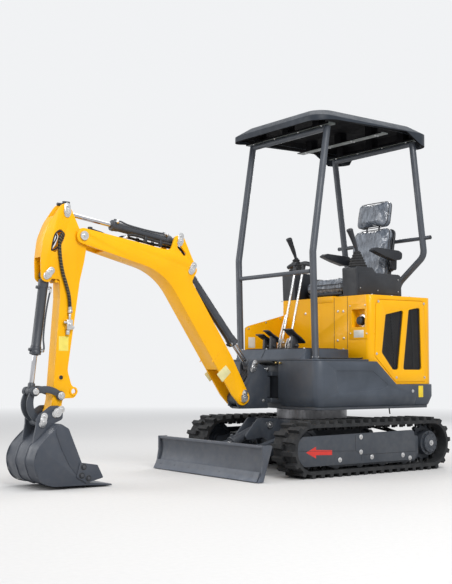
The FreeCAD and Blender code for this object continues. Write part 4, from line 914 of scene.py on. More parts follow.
armHose = {
    "route": [(1896, 40, 1404), (1908, 47, 1392), (1920, 53, 1365), (1918, 54, 1295), (1903, 54, 1198),
              (1873, 54, 1116), (1850, 54, 1040), (1849, 54, 975)],
    "radius": 9.5, "wrap": 1.9, "pitch": 17.0,
    # fittings: start, end, radius, rounding, sides
    "fittings": [((1850, 54, 955), (1850, 54, 915), 8, 0.8, 24), ((1850, 54, 912), (1852, 54, 884), 13, 1, 6),
                 ((1852, 54, 884), (1858, 54, 858), 9, 0.8, 24), ((1860, 54, 862), (1862, 54, 838), 12, 1, 6),
                 ((1870, 56, 906), (1888, 56, 906), 9, 1, 6), ((1842, 56, 880), (1824, 56, 880), 9, 1, 6)],
    "valve": ((1836, 41.5, 866), (1874, 70, 922)), "valveBolt": (1855, 70, 894),
}
armParts = {
    "slotRim": [(1963, 1307), (1952, 1386), (1922, 1422), (1881, 1406), (1902, 1362), (1935, 1309)],
    "slotAway": 42.5, "port": (1893, 42, 600), "portRing": [(12.5, -1), (17, -1), (17.5, 2), (15, 3.5),
                                                            (12.5, 3)],
    "lug": (1813, 42, 523), "lugRing": [(15.3, -1), (24, -1), (25, 3), (23, 5), (15.3, 5)],
    "cap": ((1850, 28, 1572), (1896, 41, 1590)),
}


def flankBlocks(low, high, edge):
    # The same block on both flanks, given for the left one.
    made = []
    for side in flanks:
        near, far = span(side, low[1], high[1])
        made.append(block((low[0], near, low[2]), (high[0], far, high[2]), edge))
    return made


def addArmHose():
    route, radius = armHose["route"], armHose["radius"]
    addHose("armHose", "arm", route, radius)
    centre, across = lineOf(route), Vector((0, 1, 0))
    coil, run = [], 0.0
    for before, here in zip(centre, centre[1:]):
        run += (here - before).length
        out = (here - before).normalized().cross(across).normalized()
        turn = math.tau * run / armHose["pitch"]
        coil.append(here + (out * math.cos(turn) + across * math.sin(turn)) * (radius + 0.8))
    finish(tube(coil, armHose["wrap"], 2), "armHoseWrap", "arm", "wrap", 60)
    fittings = [drum(*fitting) for fitting in armHose["fittings"]]
    fittings += [hoseEnd(route[-1], (0, 0, 1), radius, 34), block(*armHose["valve"], 3),
                 headOut(armHose["valveBolt"], 1, 14, 8)]
    finish(fittings, "armHoseFittings", "arm", "zinc", 40)


def addArmDetails():
    for side, tag in zip(flanks, ("Left", "Right")):
        rim = [(x, side * armParts["slotAway"], z) for x, z in armParts["slotRim"]]
        finish(tube(rim, 4.2, 4, cyclic=True), "armSlotEdging" + tag, "arm", "hose", 60)
        for name, place, profile in (("armPortRing", "port", "portRing"), ("thumbLugRing", "lug", "lugRing")):
            ring = turnedOut(armParts[profile], armParts[place], side, ring=True)
            finish(ring, name + tag, "arm", "yellow")
    x, y, z = armParts["port"]
    finish(drum((x, y - 1, z), (x, y + 1.2, z), 12.4, 0.4, 28), "armPortPlug", "arm", "blackPlastic")
    finish(flankBlocks(*armParts["cap"], 4), "armTopCap", "arm", "blackPlastic")


boomHoses = {
    "ram": [(1493, 45, 1412), (1469, 45, 1430), (1442, 45, 1434), (1400, 45, 1430), (1351, 45, 1421),
            (1302, 45, 1413),
            (1245, 45, 1404), (1209, 43, 1402), (1178, 38, 1398), (1146, 34, 1394), (1110, 34, 1388),
            (1078, 34, 1366), (1060, 34, 1332), (1058, 34, 1304)],
    "ramRadius": 8, "farDrop": 2, "clamps": ((1351, 1414), (1245, 1398)),
    "tip": [(1728, 53, 1443), (1712, 53, 1439), (1690, 53, 1433), (1650, 53, 1426), (1622, 53, 1412),
            (1606, 53, 1388)],
    "tipRadius": 8.5, "tipClamp": ((1716, 43, 1430), (1740, 63, 1456)),
}


def addBoomDetails():
    near = boomHoses["ram"]
    far = [(x, -y, z - boomHoses["farDrop"]) for x, y, z in near]
    for name, route in (("armRamHose", near), ("armRamHoseFar", far)):
        addHose(name, "boom", route, boomHoses["ramRadius"])
        addHoseEnds(name, "boom", route, boomHoses["ramRadius"])
    for x, z in boomHoses["clamps"]:
        halves = flankBlocks((x - 9, 33, z - 22), (x + 9, 57, z + 17), 5)
        heads = [hexHead((x, side * 49, z + 16), (0, 0, 1), 6, 4) for side in flanks]
        finish(halves + heads, "boomTopClamp" + str(x), "boom", "blackPlastic")
    for side, tag in zip(flanks, ("Left", "Right")):
        addHose("boomTipHose" + tag, "boom", onFlank(boomHoses["tip"], side), boomHoses["tipRadius"])
    finish(flankBlocks(*boomHoses["tipClamp"], 4), "boomTipClamp", "boom", "blackPlastic")


# bucket and blade

bucketParts = {
    "cutterBolts": ((1820, 116), (1831, 70), (1790, 54)), "cutterFace": 184,
    "cutterRing": [(11, -1), (17, -1), (17, 2), (15.5, 3), (11, 3)],
    "edge": [(1962, 350, 6), (1991, 312, 30), (1951, 214, 60), (1906, 131, 40), (1868, 84, 20), (1800, 22, 6),
             (1776, 20, 4), (1831, 139, 60), (1911, 324, 10)],
    "edgeFaces": (175, 178),
}
bladeParts = {
    "cutting": [(884, 30), (897, 6), (903, 6), (889, 34), (878, 62), (874, 62)], "half": 538,
    "boltReach": 480, "boltPitch": 160, "bolt": [(0, 0), (9, 0), (8, 2), (0, 2.6)],
}


def addBucketDetails():
    face = bucketParts["cutterFace"]
    places = [(side, (x, face, z)) for side in flanks for x, z in bucketParts["cutterBolts"]]
    finish([turnedOut(bucketParts["cutterRing"], at, side, 28, ring=True) for side, at in places],
           "cutterRings", "bucket", "blackPlastic", 40)
    finish([drum((x, side * (y - 1), z), (x, side * (y + 7), z), 10.5, 0.8, 6) for side, (x, y, z) in places],
           "cutterBolts", "bucket", "darkBolt", 40)
    finish([plateOut(rounded(bucketParts["edge"]), side, *bucketParts["edgeFaces"], 1.0) for side in flanks],
           "bucketEdgeStrips", "bucket", "bucketPaint")


def addBladeDetails():
    half, reach = bladeParts["half"], bladeParts["boltReach"]
    finish(plate(bladeParts["cutting"], -half, half, "Y", 0.8), "bladeCuttingEdge", "blade", "bladeEdge")
    bolts = [lathe(bladeParts["bolt"], (886, y, 40), (890, y, 41.5), 20)
             for y in range(-reach, reach + 1, bladeParts["boltPitch"])]
    finish(bolts, "bladeEdgeBolts", "blade", "bladeEdge", 40)


# tracks and car body

coverParts = {
    "face": 540, "arrow": [(526, 157), (447, 189), (447, 170), (317, 163), (317, 134), (447, 139),
                           (447, 119)],
    "bolts": [(73, 233), (74, 141), (251, 101), (-21, 106), (-299, 105), (-364, 84)],
    "boltSeat": [(0, -1), (15, -1), (15, 1.2), (14, 2), (0, 2)],
    "seams": [((120, 246), (121, 152)), ((121, 152), (72, 127)), ((72, 127), (66, 86)),
              ((-420, 124), (66, 124)),
              ((126, 150), (600, 168))],
}
hubParts = {
    "middle": (-572, 171), "cap": [(0, 0), (58, 0), (59, 2), (57, 3.4), (34, 3.4), (32, 6), (27, 7), (0, 7)],
    # number of bolts, circle, face, size, height
    "rings": ((9, 49, 529.5, 7, 5), (12, 69, 513.5, 6, 4)), "idlerBolt": (470, 505.5, 171),
}
slewBolts = {"count": 24, "circle": 212, "level": 390}
motorHose = {"route": [(-215, 60, 300, 1), (-300, 120, 296, 1), (-352, 200, 285, 1), (-372, 300, 262, 0.6)],
             "end": [(-420, 372, 236), (-500, 392, 222)], "apart": 14, "radius": 8}
bladeHose = {"route": [(330, 1, 4, 300), (372, 1, 6, 336), (412, 1, 0, 352), (446, 0.8, 0, 342),
                       (462, 0.6, 0, 324)],
             "away": 18, "radius": 7}


def addTrackDetails():
    face = coverParts["face"]
    finish([plateOut(coverParts["arrow"], side, face, face + 0.6) for side in flanks],
           "directionArrows", "undercarriage", "redSticker")
    places = [(side, x, z) for side in flanks for x, z in coverParts["bolts"]]
    seats = [turnedOut(coverParts["boltSeat"], (x, face, z), side, 24) for side, x, z in places]
    finish(seats + [headOut((x, face + 2, z), side, 10, 6) for side, x, z in places],
           "trackCoverBolts", "undercarriage", "zinc", 40)
    finish([drum((a[0], side * (face - 0.6), a[1]), (b[0], side * (face - 0.6), b[1]), 1.6, 0, 8)
            for side in flanks for a, b in coverParts["seams"]],
           "trackCoverSeams", "undercarriage", "blackPlastic", 40)
    x, z = hubParts["middle"]
    bolts = [headOut((x + dx, away, z + dz), side, size, height) for side in flanks
             for count, circle, away, size, height in hubParts["rings"] for dx, dz in around(count, circle)]
    bolts += [headOut(hubParts["idlerBolt"], side, 14, 7) for side in flanks]
    finish(bolts, "driveHubBolts", "undercarriage", "darkBolt", 40)
    nuts = [headOut((x, 536, z), side, 17, 8) for side in flanks]
    finish(nuts, "driveHubNuts", "undercarriage", "zinc", 40)
    finish([turnedOut(hubParts["cap"], (x, 529, z), side, 48) for side in flanks],
           "driveHubCaps", "undercarriage", "anthracite")
    ring = [hexHead((x, y, slewBolts["level"]), (0, 0, 1), 7, 5)
            for x, y in around(slewBolts["count"], slewBolts["circle"], 0.5)]
    finish(ring, "slewRingBolts", "undercarriage", "darkBolt", 40)


def addUnderHoses():
    for side, tag in zip(flanks, ("Left", "Right")):
        for shift, level in ((-motorHose["apart"], "Lower"), (motorHose["apart"], "Upper")):
            run = [(x, side * y, z + shift * share) for x, y, z, share in motorHose["route"]]
            (x, y, z), (endX, endY, endZ) = motorHose["end"]
            run += [(x, side * y, z), (endX, side * endY + shift, endZ)]
            addHose("motorHose" + tag + level, "undercarriage", run, motorHose["radius"], 4)
    for side, tag in zip(flanks, ("Left", "Right")):
        run = [(x, side * bladeHose["away"] * share + more, z) for x, share, more, z in bladeHose["route"]]
        hose = addHose("bladeHose" + tag, None, run, bladeHose["radius"])
        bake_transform(hose)


# swing post and the nose

feedHose = {
    # x, share of the distance from the middle, z, and what every second hose is higher by
    "route": [(330, 2.6, 676, 0), (372, 1.7, 690, 6), (430, 1.2, 700, 0), (498, 1, 690, 0),
              (560, 1, 640, -10), (600, 1, 585, 0), (624, 1, 556, 0)],
    "away": (-27, -9, 9, 27), "radius": 8.5,
}
noseParts = {"guard": boxOutline(344, 364, 468, 604, 4), "guardHalf": 92, "pin": (405, 0, 645),
             "pinCap": [(0, 0), (26, 0), (26, 5), (22, 8), (9, 8), (8, 12), (0, 12)]}


def addPostDetails():
    for i, away in enumerate(feedHose["away"]):
        run = [(x, away * share, z + i % 2 * more) for x, share, z, more in feedHose["route"]]
        hose = addHose("boomFeedHose" + str(i), None, run, feedHose["radius"], 4)
        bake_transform(hose)
    guard = plate(noseParts["guard"], -noseParts["guardHalf"], noseParts["guardHalf"], "Y", 2)
    finish(guard, "noseFacePlate", "house", "blackPlastic")
    x, y, z = noseParts["pin"]
    finish(lathe(noseParts["pinCap"], (x, y, z), (x, y, z + 1)), "swingPinCap", "house", "zinc")


# house: hood, panels, rear

hoodHatch = (((-150, -4, 1129), (-62, 150, 1137)), ((-66, -4, 1096), (-56.5, 150, 1137)))
fuelNeck = {
    "place": (-105, 380, 965), "ring": [(0, 0), (44, 0), (44, 3), (40, 5), (0, 5)],
    "knob": [(0, 0), (34, 0), (34, 4), (27, 6), (25, 22), (27, 24), (27, 30), (23, 34), (0, 35)],
    "rim": (304, 470, 846, 1076), "rimFaces": (-60.2, -57), "opening": ((-70, 328, 923), (-50, 448, 1039)),
}
hoodSeams = {
    "frontFace": -59.8, "frontFoot": 786, "front": ((160, 1126), (-4, 1128), (286, 1126)),  # y, top
    "top": (((-70, 297, 1130), (-600, 330, 1130)), ((-70, -297, 1130), (-600, -330, 1130)),
            ((-560, -330, 1130), (-560, 330, 1130))),
}


def addHoodDetails():
    finish([block(low, high, 3) for low, high in hoodHatch], "hoodHatchLip", "house", "yellow")
    flange = plate(boxOutline(*fuelNeck["rim"], 8), *fuelNeck["rimFaces"], "X", 1.0)
    opening = block(*fuelNeck["opening"])
    cut = flange.modifiers.new("Opening", "BOOLEAN")
    cut.operation = "DIFFERENCE"
    cut.object = opening
    applyAll(flange)
    bpy.data.objects.remove(opening)
    finish(flange, "recessFlange", "house", "yellow")
    x, y, z = fuelNeck["place"]
    knob = lathe(fuelNeck["knob"], (x, y, z), (x + 1, y, z), 40)
    rib = block((x + 21, y - 3, z - 26), (x + 36, y + 3, z + 26), 1.5)
    finish([knob, rib], "fuelKnob", "house", "blackPlastic")
    finish(lathe(fuelNeck["ring"], (x, y, z), (x + 1, y, z), 40), "fuelNeckRing", "house", "zinc")
    face, foot = hoodSeams["frontFace"], hoodSeams["frontFoot"]
    grooves = [drum((face, y, top), (face, y, foot), 1.5, 0, 8) for y, top in hoodSeams["front"]]
    grooves += [drum(start, end, 1.6, 0, 8) for start, end in hoodSeams["top"]]
    finish(grooves, "hoodSeams", "house", "blackPlastic", 40)


grilleSheet = {
    "pitch": 15.0, "web": 2.6, "thickness": 1.6, "face": 480, "filterFaces": (464, 467), "barFace": 474,
    "barShare": 0.36, "barFoot": 700,
    "windows": ([(-205, 1006), (-372, 1040), (-318, 650), (-268, 650), (-168, 760)],
                [(-420, 1044), (-528, 1062), (-540, 650), (-364, 650)]),
}
hoodCorner = {"fixed": -372, "share": 194 / 264}
panelBolts = {"places": ((-140, 1088), (-566, 1090), (-566, 600), (-300, 600), (-122, 752)), "face": 488,
              "size": 8}


def squeezeIn(x, side):
    # On the right flank what lies ahead is drawn back, where the hood's corner runs in.
    fixed = hoodCorner["fixed"]
    return x if side > 0 or x < fixed else fixed + (x - fixed) * hoodCorner["share"]


def grille(points, face):
    # Punched sheet that fills a window, its diamond holes cut from a turned grid.
    low, high = Vector(map(min, zip(*points))), Vector(map(max, zip(*points)))
    middle, pitch = (low + high) / 2, grilleSheet["pitch"]
    count = int((high - low).length / pitch) + 2
    clearSelection()
    bpy.ops.mesh.primitive_grid_add(x_subdivisions=count, y_subdivisions=count, size=count * pitch * mm,
                                    rotation=(math.radians(90), 0, 0))
    piece = freeze(bpy.context.object)
    piece.rotation_euler = (0, math.radians(45), 0)
    piece.location = Vector((middle.x, face, middle.y)) * mm
    freeze(piece)
    bpy.ops.object.mode_set(mode="EDIT")
    sides = list(zip(points, points[1:] + points[:1]))
    turn = math.copysign(1, sum(a[0] * b[1] - b[0] * a[1] for a, b in sides))
    for a, b in sides:
        outward = Vector((b[1] - a[1], 0, a[0] - b[0])).normalized() * turn
        bpy.ops.mesh.select_all(action="SELECT")
        bpy.ops.mesh.bisect(plane_co=Vector((a[0], face, a[1])) * mm, plane_no=outward, clear_outer=True)
    bpy.ops.mesh.select_all(action="SELECT")
    bpy.ops.mesh.select_mode(type="FACE")
    bpy.ops.mesh.inset(use_individual=True, thickness=grilleSheet["web"] / 2 * mm, depth=0)
    bpy.ops.mesh.delete(type="FACE")
    bpy.ops.mesh.select_mode(type="VERT")
    bpy.ops.object.mode_set(mode="OBJECT")
    wall = piece.modifiers.new("Wall", "SOLIDIFY")
    wall.thickness = grilleSheet["thickness"] * mm
    wall.offset = 0
    return applyAll(piece)


def addGrilles():
    sheets, bars, filters = [], [], []
    for side in flanks:
        y, share = side * grilleSheet["barFace"], grilleSheet["barShare"]
        for window in grilleSheet["windows"]:
            points = [(squeezeIn(x, side), z) for x, z in window]
            sheets.append(grille(points, side * grilleSheet["face"]))
            filters.append(plateOut(points, side, *grilleSheet["filterFaces"]))
            low = [point for point in points if point[1] < grilleSheet["barFoot"]]
            top = Vector(points[0]).lerp(Vector(points[1]), share)
            foot = Vector(low[0]).lerp(Vector(low[-1]), share)
            middle = (top + foot) / 2
            bars.append(tube([(top.x, y, top.y - 4), (middle.x, y, middle.y), (foot.x, y, foot.y + 4)], 4, 3))
    finish(filters, "grilleFilters", "house", "bootRubber", 30)
    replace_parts(finish(sheets, "punchedGrilles", "house", "grille", 30), "side_meshes")
    finish(bars, "grilleBars", "house", "blackPlastic", 60)
    size = panelBolts["size"]
    finish([headOut((squeezeIn(x, side), panelBolts["face"], z), side, size, size * boltSlimness)
            for side in flanks for x, z in panelBolts["places"]], "panelBolts", "house", "zinc", 40)


rearDoor = {
    "louvre": [(-702, 0), (-694, 2), (-694, 17), (-697, 17)], "half": 72, "columns": (-120, 120),
    "rows": range(860, 1001, 28), "latch": (-210, 780), "latchSize": (92, 44),
    "latchFaces": (-712, -694), "latchButton": [(0, 0), (13, 0), (13, 4), (9, 6), (0, 6)],
}
drain = {"route": [(-425, 300, 408), (-425, 300, 396), (-426, 300.5, 380), (-428, 301, 366),
                   (-430, 302, 355)],
         "diameter": 8.4}


def addRearDetails():
    half = rearDoor["half"]
    finish([plate([(x, z + dz) for x, dz in rearDoor["louvre"]], y - half, y + half, "Y", 0.8)
            for y in rearDoor["columns"] for z in rearDoor["rows"]], "rearDoorLouvres", "rear_door", "yellow")
    y, z = rearDoor["latch"]
    rear, front = rearDoor["latchFaces"]
    latch = [plate(oblong((y, z), *rearDoor["latchSize"], 0), rear, front, "X", 2),
             lathe(rearDoor["latchButton"], (rear + 1, y, z), (rear, y, z), 24)]
    finish(latch, "rearDoorLatch", "rear_door", "blackPlastic")
    hose = addHose("drainHose", "house", drain["route"], drain["diameter"] / 2)
    path = [spot * mm for spot in lineOf(drain["route"])]


floorParts = {
    "mat": boxOutline(20, 330, -300, 290, 18), "matLevels": (779, 783),
    "ribs": range(-280, 281, 28), "ribEnds": (34, 316), "ribHalf": 6, "ribLevels": (782.5, 785.5),
    "seams": (((349, -60, 779), (386, -60, 722)), ((10, -60, 779.2), (349, -60, 779.2))),
    "cable": [(330, 440, 719), (250, 446, 719), (160, 436, 719), (60, 444, 719), (-30, 438, 719),
              (-60, 420, 724)],
    "fittings": (-150, -110, 110, 150), "fittingEnds": (392, 406), "fittingLevel": 690,
}


def addFloorDetails():
    finish(plate(floorParts["mat"], *floorParts["matLevels"], "Z", 1.5), "floorMat", "house", "floorMat")
    (rear, front), (low, high), half = floorParts["ribEnds"], floorParts["ribLevels"], floorParts["ribHalf"]
    ribs = [block((rear, y - half, low), (front, y + half, high), 1.2) for y in floorParts["ribs"]]
    finish(ribs, "floorMatRibs", "house", "floorMat")
    finish([drum(start, end, 1.6, 0, 8) for start, end in floorParts["seams"]],
           "floorSeams", "house", "blackPlastic", 40)
    addHose("floorCable", "house", floorParts["cable"], 4.5, 4)
    (rear, front), z = floorParts["fittingEnds"], floorParts["fittingLevel"]
    finish([drum((rear, y, z), (front, y, z), 8, 1, 6) for y in floorParts["fittings"]],
           "frontFittings", "house", "brass", 40)


# seat: simulated pads with the creases of their film, piping, shell and slides

seatPads = {
    # halves of width, length and thickness, corner, middle, lean, and cap on the swelling
    "cushion": {"halfWidth": 203, "halfLength": 214, "halfThick": 31, "corner": 62, "middle": (-315, 0, 1207),
                "tilt": 0, "cap": 24, "stands": "seat_cushion"},
    "backrest": {"halfWidth": 184, "halfLength": 192, "halfThick": 28, "corner": 66,
                 "middle": (-566, 0, 1458),
                 "tilt": 100, "cap": 24, "stands": "seat_back"},
    "headrest": {"halfWidth": 152, "halfLength": 92, "halfThick": 28, "corner": 46, "middle": (-604, 0, 1744),
                 "tilt": 100, "cap": 20},
}
padMaking = {"voxel": 6, "frames": 20, "pressure": 4, "creaseSize": 42, "creaseDepth": 2.4, "piping": 3.2}
seatFrame = {
    "recliner": rounded([(-440, 1152, 4), (-500, 1180, 30), (-556, 1330, 10), (-588, 1330, 10),
                         (-560, 1170, 20), (-520, 1152, 4)]),
    "reclinerFaces": (150, 158), "shell": boxOutline(-190, 188, -178, 178, 56),
    "shellFaces": (26, 46), "base": ((-518, -168, 1150), (-122, 168, 1167)), "slideAway": 150,
    "rollers": range(-500, -147, 44), "rollerHalf": 140, "rollerLevel": 1151,
    # bars of the headrest: foot of the pad's middle, distance to the side, lean, stretch down from there
    "headBars": (-604, 1744), "headBarAway": 60, "lean": 10, "headBarEnds": (60, 180),
}


def puff(piece, cap):
    # Swells a pad by cloth simulation; no point may move further than the cap.
    cloth = piece.modifiers.new("Cloth", "CLOTH")
    cloth.settings.quality = 4
    cloth.settings.use_pressure = True
    cloth.settings.uniform_pressure_force = padMaking["pressure"]
    cloth.settings.effector_weights.gravity = 0
    cloth.point_cache.frame_start = 1
    cloth.point_cache.frame_end = padMaking["frames"]
    rest = [corner.co.copy() for corner in piece.data.vertices]
    for step in range(1, padMaking["frames"] + 1):
        bpy.context.scene.frame_set(step)
    applyAll(piece)
    bpy.context.scene.frame_set(1)
    for corner, was in zip(piece.data.vertices, rest):
        move = corner.co - was
        if move.length > cap * mm:
            corner.co = was + move.normalized() * cap * mm
    return piece


def crumple(piece):
    # Pushes the surface in and out like loose film.
    texture = bpy.data.textures.new(piece.name + "Crumple", "CLOUDS")
    texture.noise_scale = padMaking["creaseSize"] * mm
    texture.noise_depth = 3
    texture.noise_type = "HARD_NOISE"
    relief = piece.modifiers.new("Crumple", "DISPLACE")
    relief.texture = texture
    relief.texture_coords = "GLOBAL"
    relief.strength = padMaking["creaseDepth"] * mm
    relief.mid_level = 0.35
    return applyAll(piece)


def padOutline(size):
    length, width = size["halfLength"], size["halfWidth"]
    return boxOutline(-length, length, -width, width, size["corner"])


def padShape(size):
    # Flat pad lying at the origin, voxel remeshed for the cloth.
    piece = plate(padOutline(size), -size["halfThick"], size["halfThick"], "Z", 16, 4)
    remesh = piece.modifiers.new("Remesh", "REMESH")
    remesh.mode = "VOXEL"
    remesh.voxel_size = padMaking["voxel"] * mm
    return applyAll(piece)


def placePad(piece, size):
    # Leans a pad back by its tilt and moves it to its middle.
    piece.rotation_euler = (0, math.radians(-size["tilt"]), 0)
    piece.location = Vector(size["middle"]) * mm
    return freeze(piece)


def nearest(piece, at, lift=0.0):
    # Nearest place on the piece, lifted off its surface.
    hit, spot, normal, face = piece.closest_point_on_mesh(Vector(at) * mm)
    return tuple(spot / mm + normal * lift)


def pipingOf(piece, size, seams):
    # Loops round both rims, and lengthwise seams on the top at shares of the width.
    length, width, thick = size["halfLength"], size["halfWidth"], size["halfThick"]
    loops = [[nearest(piece, (a * 1.02, b * 1.02, thick * level)) for a, b in padOutline(size)]
             for level in (0.55, -0.55)]
    lines = [[nearest(piece, (step / 10 * 0.86 * length, line * width * 1.6, thick * 3), 0.4)
              for step in range(-10, 11)] for line in seams]
    return [(loop, True) for loop in loops] + [(line, False) for line in lines]


def addSeat():
    for name, size in seatPads.items():
        piece = puff(padShape(size), size["cap"])
        piping = pipingOf(piece, size, (-0.34, 0.34) if name != "headrest" else ())
        divide = piece.modifiers.new("Subdivision", "SUBSURF")
        divide.levels = divide.render_levels = 1
        applyAll(piece)
        placePad(crumple(piece), size)
        finish(piece, name + "Pad", "house", "seatVinyl", 60)
        if "stands" in size:
            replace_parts(piece, size["stands"])
        finish([placePad(tube(line, padMaking["piping"], 3, cyclic=closed), size) for line, closed in piping],
               name + "Piping", "house", "piping", 60)


def addSeatFrame():
    tilt = math.radians(seatFrame["lean"])
    down = Vector((math.sin(tilt), 0, -math.cos(tilt)))
    (x, z), away = seatFrame["headBars"], seatFrame["headBarAway"]
    first, last = seatFrame["headBarEnds"]
    bars = [drum(Vector((x, y, z)) + down * first, Vector((x, y, z)) + down * last, 7, 0.5, 20)
            for y in (-away, away)]
    finish(bars, "headrestBars", "house", "darkBolt")
    shell = placePad(plate(seatFrame["shell"], *seatFrame["shellFaces"], "Z", 8, 3), seatPads["backrest"])
    recliners = [plateOut(seatFrame["recliner"], side, *seatFrame["reclinerFaces"], 1.5) for side in flanks]
    finish([shell] + recliners, "backrestShell", "house", "blackPlastic")
    away = seatFrame["slideAway"]
    under = [block((-520, y - 18, 1131), (-130, y + 18, 1152), 3) for y in (-away, away)]
    under.append(block(*seatFrame["base"], 5))
    half, level = seatFrame["rollerHalf"], seatFrame["rollerLevel"]
    under += [drum((x, -half, level), (x, half, level), 7, 0, 12) for x in seatFrame["rollers"]]
    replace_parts(finish(under, "seatSlides", "house", "blackPlastic"), "seat_base")


armrest = {
    "pad": rounded([(-313, 1452, 14), (-350, 1474, 26), (-560, 1466, 24), (-594, 1452, 20), (-590, 1404, 26),
                    (-520, 1398, 40), (-420, 1420, 60)]),
    "padFaces": (222, 274), "stalkFaces": (192, 220), "hinge": (-574, 186, 1352),
    "stalk": rounded([(-545, 1440, 14), (-545, 1392, 10), (-555, 1336, 16), (-595, 1336, 16),
                      (-600, 1440, 14)]),
    "hingeCap": [(0, 0), (24, 0), (24, 5), (20, 8), (8, 8), (7, 11), (0, 11)],
}


def addArmrests():
    pads = [plateOut(armrest["pad"], side, *armrest["padFaces"], 12, 4) for side in flanks]
    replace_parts(finish(pads, "armrestPads", "house", "blackPlastic", 50), "armrests")
    stalks = [plateOut(armrest["stalk"], side, *armrest["stalkFaces"], 5, 3) for side in flanks]
    hinges = [turnedOut(armrest["hingeCap"], armrest["hinge"], side) for side in flanks]
    finish(stalks + hinges, "armrestStalks", "house", "blackPlastic", 50)


# hand controls

joystick = {
    "base": (-135, 306, 1320.4), "boot": 62, "neck": 20, "height": 108, "rings": 6,
    # from the base: forward, up, radius
    "stem": ((4, 100, 9), (16, 132, 11), (28, 158, 15), (48, 200, 17), (68, 238, 21)),
    "head": [(0, 0), (19, 0), (22, 4), (22, 12), (17, 19), (8, 22), (0, 22)],
    "headEnds": ((66, 232), (74, 250)), "collar": [(0, 0), (16, 0), (16, 8), (0, 8)],
    "collarEnds": ((4, 104), (8, 114)), "buttonEnds": ((84, 240), (89, 243)), "buttonAway": 7,
}


def bellows():
    # Profile of the rubber boot: rings that grow smaller upwards.
    boot, neck, height, count = [joystick[key] for key in ("boot", "neck", "height", "rings")]
    profile, step = [(0, 0), (boot, 0), (boot, 5)], (height - 5) / count
    for i in range(count):
        wide = boot + (neck - boot) * i / count
        low = 5 + i * step
        profile += [(wide - 3, low), (wide, low + step * 0.28), (wide - 1, low + step * 0.52),
                    (wide - 9, low + step * 0.86)]
    return profile + [(neck - 4, height), (0, height)]


def addJoysticks():
    x, away, z = joystick["base"]
    boots, grips, buttons = [], [], []
    for side in flanks:
        y = side * away
        boots.append(lathe(bellows(), (x, y, z), (x + 1.2, y, z + 20), 48))
        grips.append(tube([(x + dx, y, z + dz) for dx, dz, _ in joystick["stem"]], 1, 8,
                          widths=[radius for _, _, radius in joystick["stem"]]))
        head, collar = [[(x + dx, y, z + dz) for dx, dz in joystick[key]]
                        for key in ("headEnds", "collarEnds")]
        grips.append(lathe(joystick["head"], *head))
        for dy in (-joystick["buttonAway"], joystick["buttonAway"]):
            start, end = [(x + dx, y + dy, z + dz) for dx, dz in joystick["buttonEnds"]]
            buttons.append(drum(start, end, 5, 1, 16))
        buttons.append(lathe(joystick["collar"], *collar, 24))
    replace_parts(finish(boots, "joystickBoots", "house", "bootRubber", 40), "joysticks")
    finish(grips, "joystickGrips", "house", "blackPlastic", 50)
    finish(buttons, "joystickButtons", "house", "darkBolt", 40)


travelLever = {
    # points x, distance outwards from the lever's own plane, z
    "away": 40, "bar": ((222, 0, 836), (206, 0, 900), (172, 0, 1040), (140, 0, 1176), (111, 0, 1300),
                        (107, 6, 1330)),
    "stay": ((236, 17, 834), (216, 15, 900), (186, 6, 1010)),
    "stem": ((112, 0, 1292), (108, 4, 1330), (105, 8, 1344)), "stemWidths": (13, 13, 12),
    "handle": ((108, -18, 1352), (106, 12, 1353), (104, 46, 1347), (103, 78, 1337)),
    "handleWidths": (12, 16, 16, 13),
    "bracket": rounded([(198, 779, 2), (252, 779, 2), (252, 812, 8), (236, 852, 12), (208, 852, 12),
                        (198, 812, 8)]),
    "pivot": (222, 826), "foot": ((186, 779.4), (262, 785)), "footHalf": 24,
}


def addLevers():
    bars, grips, brackets = [], [], []
    for side in flanks:
        y, half = side * travelLever["away"], travelLever["footHalf"]
        bar, stay, stem, handle = [[(x, y + side * out, z) for x, out, z in travelLever[key]]
                                   for key in ("bar", "stay", "stem", "handle")]
        bars += [tube(bar, 8, 5), tube(stay, 6, 4)]
        grips += [tube(stem, 1, widths=travelLever["stemWidths"]),
                  tube(handle, 1, widths=travelLever["handleWidths"])]
        brackets += [plate(travelLever["bracket"], low, low + 5, "Y", 0.8) for low in (y - 15, y + 10)]
        (x, z), (rear, front) = travelLever["pivot"], travelLever["foot"]
        brackets.append(drum((x, y - half, z), (x, y + half, z), 8, 1, 20))
        brackets.append(block((rear[0], y - half, rear[1]), (front[0], y + half, front[1]), 1.5))
    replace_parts(finish(bars, "leverBars", "house", "zinc", 50), "travel_levers")
    finish(grips, "leverGrips", "house", "blackPlastic", 50)
    finish(brackets, "leverBrackets", "house", "zinc", 40)


pedals = {
    "floor": 779.4, "shaft": 804, "thick": (5, -9),
    # y, x, half width, height of the lower and upper end
    "places": ((-165, 255, 36, 822, 884), (-88, 262, 26, 834, 908), (120, 255, 42, 826, 912)),
    # distance from the middle, share of the rise
    "curve": ((-62, 0.00), (-50, 0.16), (-20, 0.40), (20, 0.68), (46, 0.94), (62, 1.00)),
}


